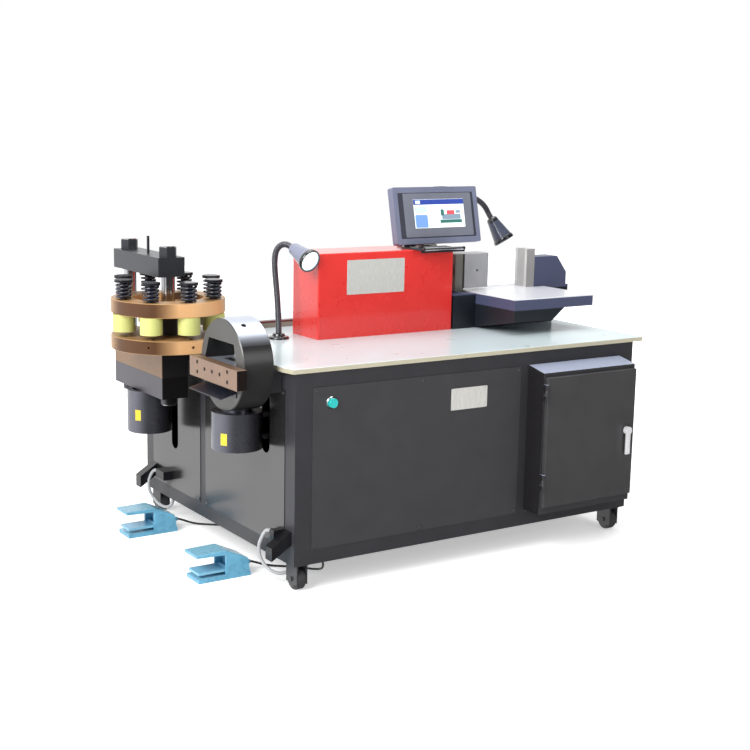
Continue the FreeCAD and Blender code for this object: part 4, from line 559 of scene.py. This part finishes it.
def wheel_material(name, axle_y, axle_z, rim):
    """Black beyond the rim radius round the axle line along X, pale inside it."""
    material = plain_material(name, (0.05, 0.05, 0.05), 0.6)
    tree = material.node_tree
    place = tree.nodes.new("ShaderNodeTexCoord")
    gap = tree.nodes.new("ShaderNodeVectorMath")
    gap.operation = "SUBTRACT"
    gap.inputs[1].default_value = (0.0, axle_y, axle_z)
    flat = tree.nodes.new("ShaderNodeVectorMath")
    flat.operation = "MULTIPLY"
    flat.inputs[1].default_value = (0.0, 1.0, 1.0)
    size = tree.nodes.new("ShaderNodeVectorMath")
    size.operation = "LENGTH"
    edge = tree.nodes.new("ShaderNodeMath")
    edge.operation = "GREATER_THAN"
    edge.inputs[1].default_value = rim
    tree.links.new(place.outputs["Object"], gap.inputs[0])
    tree.links.new(gap.outputs[0], flat.inputs[0])
    tree.links.new(flat.outputs[0], size.inputs[0])
    tree.links.new(size.outputs["Value"], edge.inputs[0])
    colour = mixed(material, edge.outputs[0], (0.34, 0.31, 0.25), (0.035, 0.035, 0.037), 0.0, 1.0)
    tree.links.new(colour, shader_of(material).inputs["Base Color"])
    raised(material, pattern(material, 500.0), 0.0001)
    return material


for corner in ("front_left", "front_right", "rear_left", "rear_right"):
    low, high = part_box("wheel_" + corner)
    middle = (np.array(low) + np.array(high)) / 2
    dress(wheel_material("tyre " + corner, middle[1], middle[2], TYRE_EDGE), "wheel_" + corner)
dress(paint("fork paint", (0.04, 0.04, 0.044), 0.45), "caster_forks")


# Electric box: sheet steel on the front right, with a hinged door and a lever handle of cast metal.
# Its top is painted pale blue-grey as a painted reflection of the bright room, and its left side near black
# as painted shade.
box_coat = paint("box coat", (0.036, 0.036, 0.04), 0.3, coat=0.5)
sided(box_coat, LEFT, NEAR_BLACK)
dress(sided(box_coat, UP, (0.36, 0.4, 0.52)), "electric_box")
dress(paint("door coat", (0.044, 0.042, 0.044), 0.4, coat=0.3), "box_door")
dress(paint("handle metal", (0.62, 0.62, 0.64), 0.3, metallic=0.2), "door_handle")
dress(paint("grey modules", (0.5, 0.51, 0.53), 0.5), "electric_equipment")


# Turret punch: two steel discs with a tan coat turn on a spindle and hold eight punches.
# Yellow-green urethane sleeves strip the bar, and black springs lift the punches.
def coated_steel(name, colour, worn, roughness, low=0.62, high=0.75, metallic=0.5):
    """A thin coat worn through to brighter metal in patches."""
    material = plain_material(name, colour, roughness, metallic)
    tree = material.node_tree
    slow = pattern(material, 22.0, detail=6.0)
    dark = tuple(v * 0.86 for v in colour)
    base = mixed(material, slow, dark, colour, 0.35, 0.6)
    fine = pattern(material, 90.0, detail=8.0)
    blend = tree.nodes.new("ShaderNodeMix")
    blend.data_type = "RGBA"
    wear = mixed(material, fine, (0.0, 0.0, 0.0), (0.35, 0.35, 0.35), low, high)
    tree.links.new(wear, blend.inputs["Factor"])
    tree.links.new(base, blend.inputs["A"])
    blend.inputs["B"].default_value = (*worn, 1.0)
    tree.links.new(blend.outputs["Result"], shader_of(material).inputs["Base Color"])
    roughened(material, slow, roughness - 0.1, roughness + 0.1)
    raised(material, fine, 0.00015, 0.3)
    return material


def brushed(name, colour, roughness, stretch, metallic=1.0):
    """Metal with fine lines: a noise squeezed across the direction of grinding."""
    material = plain_material(name, colour, roughness, metallic)
    lines = pattern(material, 40.0, detail=4.0, stretch=stretch)
    tinted(material, lines, colour, 0.16)
    roughened(material, lines, roughness - 0.1, roughness + 0.12)
    raised(material, lines, 0.0001, 0.25)
    return material


TAN = (0.42, 0.235, 0.095)
BLOCK_TAN = (0.17, 0.093, 0.042)
disc_coat = coated_steel("disc coat", TAN, (0.62, 0.42, 0.24), 0.38, metallic=0.1)
# The disc rims are painted lighter tan where they face front right, a painted highlight, and dark brown
# where they face front left, a painted reflection of the dark room in front.
sided(disc_coat, (0.3, -0.95, 0.0), (0.76, 0.43, 0.2), 0.6, 0.98)
dress(sided(disc_coat, (-0.86, -0.5, 0.0), (0.075, 0.027, 0.005), 0.7, 0.93), "turret_discs")
block_coat = coated_steel("block coat", BLOCK_TAN, (0.34, 0.22, 0.12), 0.36, metallic=0.1)
# The die block's front faces are near black: partly a dark coat, partly painted shade.
dress(sided(block_coat, FRONT, NEAR_BLACK), "die_block")
dress(paint("urethane", (0.5, 0.51, 0.17), 0.35, change=0.04, depth=0.00004), "stripper_sleeves")
black_steel = coated_steel("black steel", (0.02, 0.02, 0.026), (0.1, 0.1, 0.12), 0.3)
dress(black_steel, "punches", "active_punch", "turret_spindle")
spring_black = paint("spring lacquer", (0.014, 0.016, 0.028), 0.24, coat=0.5)
dress(spring_black, "punch_springs", "active_spring")
dress(paint("crosshead paint", (0.044, 0.046, 0.053), 0.36, metallic=0.7), "crosshead")
polished = brushed("polished bar", (0.5, 0.5, 0.52), 0.16, (1.0, 1.0, 0.02))
dress(polished, "tie_rods", "punch_piston")
yoke_coat = paint("yoke coat", (0.068, 0.064, 0.077), 0.36, metallic=0.5)
# The yoke's front faces are painted near black: painted shade.
dress(sided(yoke_coat, FRONT, NEAR_BLACK), "punch_yoke")
cylinder_paint = paint("cylinder paint", (0.15, 0.152, 0.18), 0.27, metallic=0.85)
# The cylinders' sides turned to the right are painted near black: painted shade.
sided(cylinder_paint, (0.94, -0.34, 0.0), (0.012, 0.012, 0.014), 0.1, 0.8)
dress(cylinder_paint, "punch_cylinder", "shear_cylinder", "bend_cylinder")
dark_sleeve = paint("dark sleeve", (0.018, 0.014, 0.013), 0.4)
hub_sleeve = hollow_turned(
    "hub_sleeve", at(-115, 727, 797), (0, 0, 1), [(60.6, 0.5), (70, 0.5), (70, 80), (60.6, 80)],
)
fixed(hub_sleeve, dark_sleeve, "turret")


def bent_label(name, centre, radius, heading, width, height):
    """A blank label bent round an upright cylinder: run a / r round the axis, z from 0 to the height."""
    rings = []
    across = np.linspace(-width / 2, width / 2, 9)
    for level in (0.0, height):
        loop = []
        for lift, run in ((0.5, across), (0.1, across[::-1])):
            angle = math.radians(heading) + run / radius
            flat = np.stack([np.cos(angle), np.sin(angle), np.zeros(len(run))], axis=1)
            loop.append((radius + lift) * MM * flat + (0.0, 0.0, level * MM))
        rings.append(np.concatenate(loop) + centre)
    return rings_mesh(name, rings, crease=30.0)


label_yellow = paint("label yellow", (0.62, 0.5, 0.03), 0.4, change=0.03, depth=0.00002)
punch_label = bent_label("punch_label", at(-115, 899, 452), 84, 214, 24, 40)
fixed(punch_label, label_yellow, "press")


# Shear: a thick round head with a window, its blades, a guide block in front and a folded chute.
# The head is bare steel under clear lacquer; the guide block has the tan coat of the discs.
head_steel = paint("shear head steel", (0.035, 0.034, 0.034), 0.3, change=0.1, metallic=0.5)
# The head's left faces are painted lighter, as painted light, and its upper rim pale blue-grey, as a painted
# highlight.
sided(head_steel, LEFT, (0.078, 0.077, 0.075))
dress(sided(head_steel, (0.0, -0.35, 0.94), (0.42, 0.45, 0.52), 0.78, 0.95), "shear_head")
# The blades are near black: dark steel, with painted shade of the head's window.
dark_blade = coated_steel("dark blade", (0.012, 0.012, 0.013), (0.1, 0.1, 0.11), 0.4, metallic=0.0)
dress(dark_blade, "shear_upper_blade", "shear_lower_blade")
guide_coat = coated_steel("guide coat", (0.195, 0.117, 0.074), (0.34, 0.23, 0.15), 0.36, metallic=0.1)
# The guide block's front faces are painted near black: painted shade.
dress(sided(guide_coat, FRONT, (0.008, 0.004, 0.003)), "shear_guide_block")
dress(paint("navy sheet", (0.006, 0.009, 0.019), 0.3), "shear_chute")
# Black discs a little inside the guide block's holes: painted shade in the holes.
painted_hole_shade = plain_material("painted hole shade", (0.006, 0.005, 0.005), 0.7)
GUIDE_FACE = -194
GUIDE_HOLES = ((328, 760), (328, 726), (273, 743), (218, 743), (163, 743), (108, 760), (108, 726))
for place, (y, z) in enumerate(GUIDE_HOLES, 1):
    hole_shade_disc = rings_mesh(
        f"guide_hole_shade_{place}",
        turned_rings(at(GUIDE_FACE, y, z), (1, 0, 0), [(6.8, 1.5), (6.8, 8.0)]),
    )
    fixed(hole_shade_disc, painted_hole_shade)
shear_label = bent_label("shear_label", at(-102, 215, 500), 87, 212, 24, 40)
fixed(shear_label, label_yellow)


# Bending unit: navy bed and table, a milled ram head and die, and the white table top.
# Below their rims the bed and table are painted near black as painted shade, and the ram head has a dark
# joint and a bore.
def banded(material, level, above, below, soft=0.002):
    """The base colour changes from below to above at a height in metres."""
    tree = material.node_tree
    place = tree.nodes.new("ShaderNodeTexCoord")
    parts = tree.nodes.new("ShaderNodeSeparateXYZ")
    factor = tree.nodes.new("ShaderNodeMapRange")
    factor.inputs["From Min"].default_value = level - soft
    factor.inputs["From Max"].default_value = level + soft
    tree.links.new(place.outputs["Object"], parts.inputs[0])
    tree.links.new(parts.outputs["Z"], factor.inputs["Value"])
    colour = mixed(material, factor.outputs["Result"], below, above, 0.0, 1.0)
    tree.links.new(colour, shader_of(material).inputs["Base Color"])
    return material


def rounded_outline(width, height, corner, steps=6):
    """Rectangle with quarter-circle corners as (across, up) pairs about its middle."""
    angle = np.linspace(0.0, math.pi / 2, steps)
    arcs = []
    for quarter, (sx, sy) in enumerate(((1, 1), (-1, 1), (-1, -1), (1, -1))):
        turn = angle + quarter * math.pi / 2
        middle = (sx * (width / 2 - corner), sy * (height / 2 - corner))
        arcs.append(np.stack([middle[0] + corner * np.cos(turn), middle[1] + corner * np.sin(turn)], axis=1))
    return np.concatenate(arcs)


def flat_piece(name, outline, middle, across, up, thickness, edge=0.3):
    """The outline carried through the thickness along across x up, drawn in by edge at the front."""
    across, up = unit(across), unit(up)
    out = np.cross(across, up)
    outline = np.asarray(outline, dtype=float)
    shrink = 1.0 - edge / np.abs(outline).max()
    rings = []
    for scale, height in ((1.0, 0.0), (1.0, thickness - edge), (shrink, thickness)):
        flat = outline * scale * MM
        rings.append(middle + flat[:, :1] * across + flat[:, 1:] * up + out * height * MM)
    return rings_mesh(name, rings, crease=30.0)


NAVY = (0.058, 0.066, 0.125)
UNDER_RIM_SHADE = (0.006, 0.009, 0.014)
# Below a height the bed and table turn near black: painted shade under the rim.
dress(banded(paint("bed paint", NAVY, 0.4), 0.902, NAVY, UNDER_RIM_SHADE), "bend_bed")
dress(banded(paint("table paint", NAVY, 0.45), 0.866, NAVY, UNDER_RIM_SHADE), "bend_table")
milled = paint("milled steel", (0.38, 0.38, 0.395), 0.34, change=0.05, patch=0.05, metallic=0.3)
dress(milled, "bend_punch")
dress(paint("ram steel", (0.17, 0.165, 0.145), 0.36, change=0.1, patch=0.03, metallic=0.3), "bend_ram")
die_steel = brushed("die steel", (0.48, 0.47, 0.46), 0.34, (14.0, 14.0, 0.6), 0.3)
# The die's front faces are painted darker: painted shade.
dress(sided(die_steel, FRONT, (0.33, 0.32, 0.32)), "bend_die")
dress(paint("white table paint", (0.7, 0.71, 0.75), 0.3, change=0.02, coat=0.3), "bend_table_top")


RAM_FRONT = 540
ram_joint = flat_piece(
    "ram_joint", rounded_outline(8, 136, 0.5), at(1080, RAM_FRONT, 989.5), (1, 0, 0), UP, 0.4,
)
fixed(ram_joint, plain_material("joint black", (0.012, 0.011, 0.01), 0.6), "ram")


# Red cover over the bending cylinder: a folded sheet box in gloss red, with a bare plate riveted on.
# The fence rail behind it is red above and beige below.
COVER_RED = (0.68, 0.025, 0.02)
RAIL_RED = (0.1, 0.012, 0.015)
RAIL_BEIGE = (0.25, 0.23, 0.19)
dress(paint("red gloss", COVER_RED, 0.28, change=0.04, coat=0.5, depth=0.00005), "red_cover")
rail_paint = paint("rail paint", RAIL_BEIGE, 0.4)
dress(banded(rail_paint, 0.789, RAIL_RED, RAIL_BEIGE), "fence_rail")


plate_silver = brushed("plate silver", (0.55, 0.54, 0.51), 0.35, (14.0, 1.0, 1.0), 0.2)
cover_plate = flat_piece(
    "cover_plate", rounded_outline(258, 129, 3), at(625, 482, 996.5), (1, 0, 0), (0, 0, 1), 1.0,
)
fixed(cover_plate, plate_silver)
blank_plate = flat_piece(
    "blank_plate", rounded_outline(160, 78, 4), at(713, -2, 608), (1, 0, 0), (0, 0, 1), 1.0,
)
fixed(blank_plate, plate_silver)


# Screen: a grey moulded case over a black tray with a chromed bar, with a dark bezel and a lit display.
# The display shows plain blocks and a plain bar-shaped machine, with no lettering.
dress(paint("screen plastic", (0.15, 0.165, 0.24), 0.4), "screen_case")
dress(paint("bezel plastic", (0.04, 0.042, 0.058), 0.35, depth=0.00002), "screen_glass")
base_black = paint("lamp base black", (0.012, 0.012, 0.016), 0.2, coat=0.5)
dress(paint("tray black", (0.016, 0.016, 0.02), 0.35), "screen_post")
TRAY_FRONT = (428, 1095)
TRAY_BAR_RADIUS = 7.0
for name, start, end, material in (
    ("tray_bar", 808, 987, chrome),
    ("tray_end_left", 799, 808, base_black),
    ("tray_end_right", 987, 996, base_black),
):
    line = np.array([at(x, *TRAY_FRONT) for x in np.linspace(start, end, 3)])
    fixed(tube_mesh(name, line, np.full(3, TRAY_BAR_RADIUS * MM), 24), material)
SCREEN_YAW = math.radians(4.0)
SCREEN_TILT = math.radians(-11.7)
SCREEN_PLACE = at(960, 560, 1214)
SCREEN_ACROSS = np.array((math.cos(SCREEN_YAW), math.sin(SCREEN_YAW), 0.0))
SCREEN_BACK = np.array((-math.sin(SCREEN_YAW), math.cos(SCREEN_YAW), 0.0)) * math.cos(SCREEN_TILT)
SCREEN_BACK[2] = math.sin(SCREEN_TILT)
SCREEN_UP = np.cross(SCREEN_ACROSS, SCREEN_BACK)


def on_screen(name, outline, across, up, height, thickness):
    """A flat piece on the screen's front, its middle in millimetres across and up from the screen's."""
    middle = SCREEN_PLACE + (across * SCREEN_ACROSS + up * SCREEN_UP - height * SCREEN_BACK) * MM
    return flat_piece(name, outline, middle, SCREEN_ACROSS, SCREEN_UP, thickness, 0.2)


def lit(name, colour, strength):
    """A display colour that shines a little by itself."""
    material = plain_material(name, colour, 0.3)
    shader_of(material).inputs["Emission Color"].default_value = (*colour, 1.0)
    shader_of(material).inputs["Emission Strength"].default_value = strength
    return material


DISPLAY_SHAPES = (
    ("display", "white", 10, 6, 254, 112, 0.9),
    ("display_header", "deep blue", 10, 51, 254, 20, 1.3),
    ("display_button", "pale", -96, 51, 24, 13, 1.6),
    ("display_menu", "pale blue", -83, 21, 60, 24, 1.3),
    ("display_panel", "mid blue", -83, -23, 62, 50, 1.3),
    ("display_base", "dark green", 66, -26, 112, 13, 1.3),
    ("display_body", "grey blue", 69, -8, 96, 20, 1.4),
    ("display_cover", "red", 66, 9, 40, 16, 1.5),
    ("display_tower", "dark green", 24, 9, 17, 24, 1.6),
    ("display_arm", "grey blue", 104, 11, 24, 11, 1.6),
)
# The dark bezel shows as a band round the inner frame: dark plastic, with painted shade of the recess's
# wall, wider at the left as the frame sits 6 mm right of the middle.
inner_frame = on_screen("screen_inner_frame", rounded_outline(344, 170, 4, 4), 6, 1, 0.1, 0.5)
fixed(inner_frame, paint("inner frame plastic", (0.16, 0.17, 0.21), 0.35), "screen")
display_colours = {
    "white": lit("display white", (0.86, 0.93, 0.93), 0.35),
    "deep blue": lit("display deep blue", (0.03, 0.06, 0.3), 0.3),
    "pale": lit("display pale", (0.6, 0.75, 0.95), 0.3),
    "pale blue": lit("display pale blue", (0.5, 0.66, 0.88), 0.3),
    "mid blue": lit("display mid blue", (0.16, 0.3, 0.62), 0.3),
    "dark green": lit("display dark green", (0.04, 0.16, 0.14), 0.2),
    "grey blue": lit("display grey blue", (0.22, 0.3, 0.38), 0.2),
    "red": lit("display red", (0.62, 0.08, 0.1), 0.3),
}
for name, colour, across, up, width, height, rise in DISPLAY_SHAPES:
    corner = min(width, height) * 0.12 if name != "display" else 1.0
    shape = on_screen(name, rounded_outline(width, height, corner, 4), across, up, rise - 0.35, 0.35)
    fixed(shape, display_colours[colour], "screen")


# Lamps: two black ribbed goosenecks on flared feet, with spun metal heads and frosted glass.
# A thin shell over the far head paints it darker and its back is black: painted shade, as the far head lies
# in shade.
NECK_RADIUS = 11.5
NECK_PITCH = 0.0046
NECK_DEPTH = 0.0009
NEAR_FOOT = (263, 582, 779)
NEAR_SPAN = 341
NEAR_NECK = (
    (0.0, 0.0, 0.0), (0.0, 0.0, 0.123), (0.0, 0.015, 0.252), (0.0, 0.032, 0.393), (-0.003, 0.053, 0.534),
    (-0.003, 0.082, 0.674), (0.003, 0.109, 0.806), (0.023, 0.12, 0.915), (0.062, 0.088, 0.982),
    (0.109, 0.018, 1.0), (0.129, -0.094, 0.953),
)
FAR_NECK = (
    (860, 625, 1098), (860, 632, 1160), (876, 662, 1222), (920, 688, 1270), (985, 700, 1298),
    (1065, 706, 1308), (1145, 708, 1302), (1215, 704, 1282), (1277, 701, 1254), (1314, 710, 1227),
    (1332, 712, 1200), (1342, 700, 1176),
)
LAMP_BASE = ((39, 0.0), (39, 5), (36.5, 8.2), (30, 9.6), (25, 11), (22.5, 15), (21.5, 20), (17, 21))
WORKTOP_LEVEL = 770
COVER_LEVEL = 1089
neck_rubber = paint("gooseneck rubber", (0.036, 0.034, 0.044), 0.35, coat=0.2)
near_route = [
    tuple(foot + share * NEAR_SPAN for foot, share in zip(NEAR_FOOT, shares)) for shares in NEAR_NECK
]
for name, route, foot_z in (("near_neck", near_route, WORKTOP_LEVEL), ("far_neck", FAR_NECK, COVER_LEVEL)):
    neck = ribbed(name, route_points(name, route), NECK_RADIUS * MM, NECK_PITCH, NECK_DEPTH)
    fixed(neck, neck_rubber)
    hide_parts("lamp_stands")
    foot = turned_rings(at(route[0][0], route[0][1], foot_z), (0, 0, 1), LAMP_BASE)
    fixed(rings_mesh(name + "_base", foot), base_black)


def end_aim(route):
    """Where the neck ends and the direction of its last run."""
    end, before = at(*route[-1]), at(*route[-2])
    return end, unit(end - before)


near_paint = paint("near head paint", (0.2, 0.215, 0.3), 0.25, coat=0.5)
# The far head's darker paint is painted shade.
far_shade_paint = paint("far head painted shade", (0.055, 0.065, 0.1), 0.3, coat=0.3)
dress(near_paint, "lamp_heads")
lens_glow = lit("lens", (0.8, 0.97, 0.93), 0.75)
dress(lens_glow, "lamp_lenses")
RIM = ((42.0, 86), (43.5, 88), (44.0, 99), (42.5, 101.5), (38.6, 101.5), (38.6, 99))
HEAD_BACK = ((12.5, -9), (17, -9), (21, -5), (23.4, 1), (24.6, 12), (22.5, 14))
SHELL = ((22.4, 0.0), (23.0, 4), (41.6, 94), (41.6, 96), (41.0, 96))
for name, route, skin in (("near", near_route, near_paint), ("far", FAR_NECK, far_shade_paint)):
    end, aim = end_aim(route)
    rim = hollow_turned(name + "_lamp_rim", end, aim, RIM)
    fixed(rim, base_black)
    back = rings_mesh(name + "_lamp_back", turned_rings(end, aim, HEAD_BACK))
    # The far head's back is black as painted shade; the near head's has its own paint.
    fixed(back, base_black if name == "far" else skin)
    if name == "far":
        shell = rings_mesh("far_lamp_shell", turned_rings(end, aim, SHELL))
        fixed(shell, skin)


# Hydraulic pack: oil tank, motor and valve block inside the cabinet.
# All of it has the same blue-grey paint.
dress(paint("pack paint", (0.12, 0.17, 0.26), 0.4), "hydraulic_pack")


# Connectors: black moulded housings low on the left end.
# Their plastic is smooth but shines little.
connector_black = paint("connector plastic", (0.01, 0.01, 0.012), 0.24)
shader_of(connector_black).inputs["Specular IOR Level"].default_value = 0.35
dress(connector_black, "connector_housings")


# Pedals: light blue hammered castings, with their top faces painted paler as painted light.
# Their treadles have the same blue in a smoother coat.
hammered = paint(
    "hammered blue", (0.13, 0.38, 0.55), 0.28, change=0.12, patch=0.03, grain=0.004, depth=0.0004,
)
dress(sided(hammered, UP, (0.22, 0.5, 0.66)), "pedal_bodies")
dress(paint("treadle blue", (0.2, 0.46, 0.62), 0.3), "pedal_tread_front", "pedal_tread_rear")
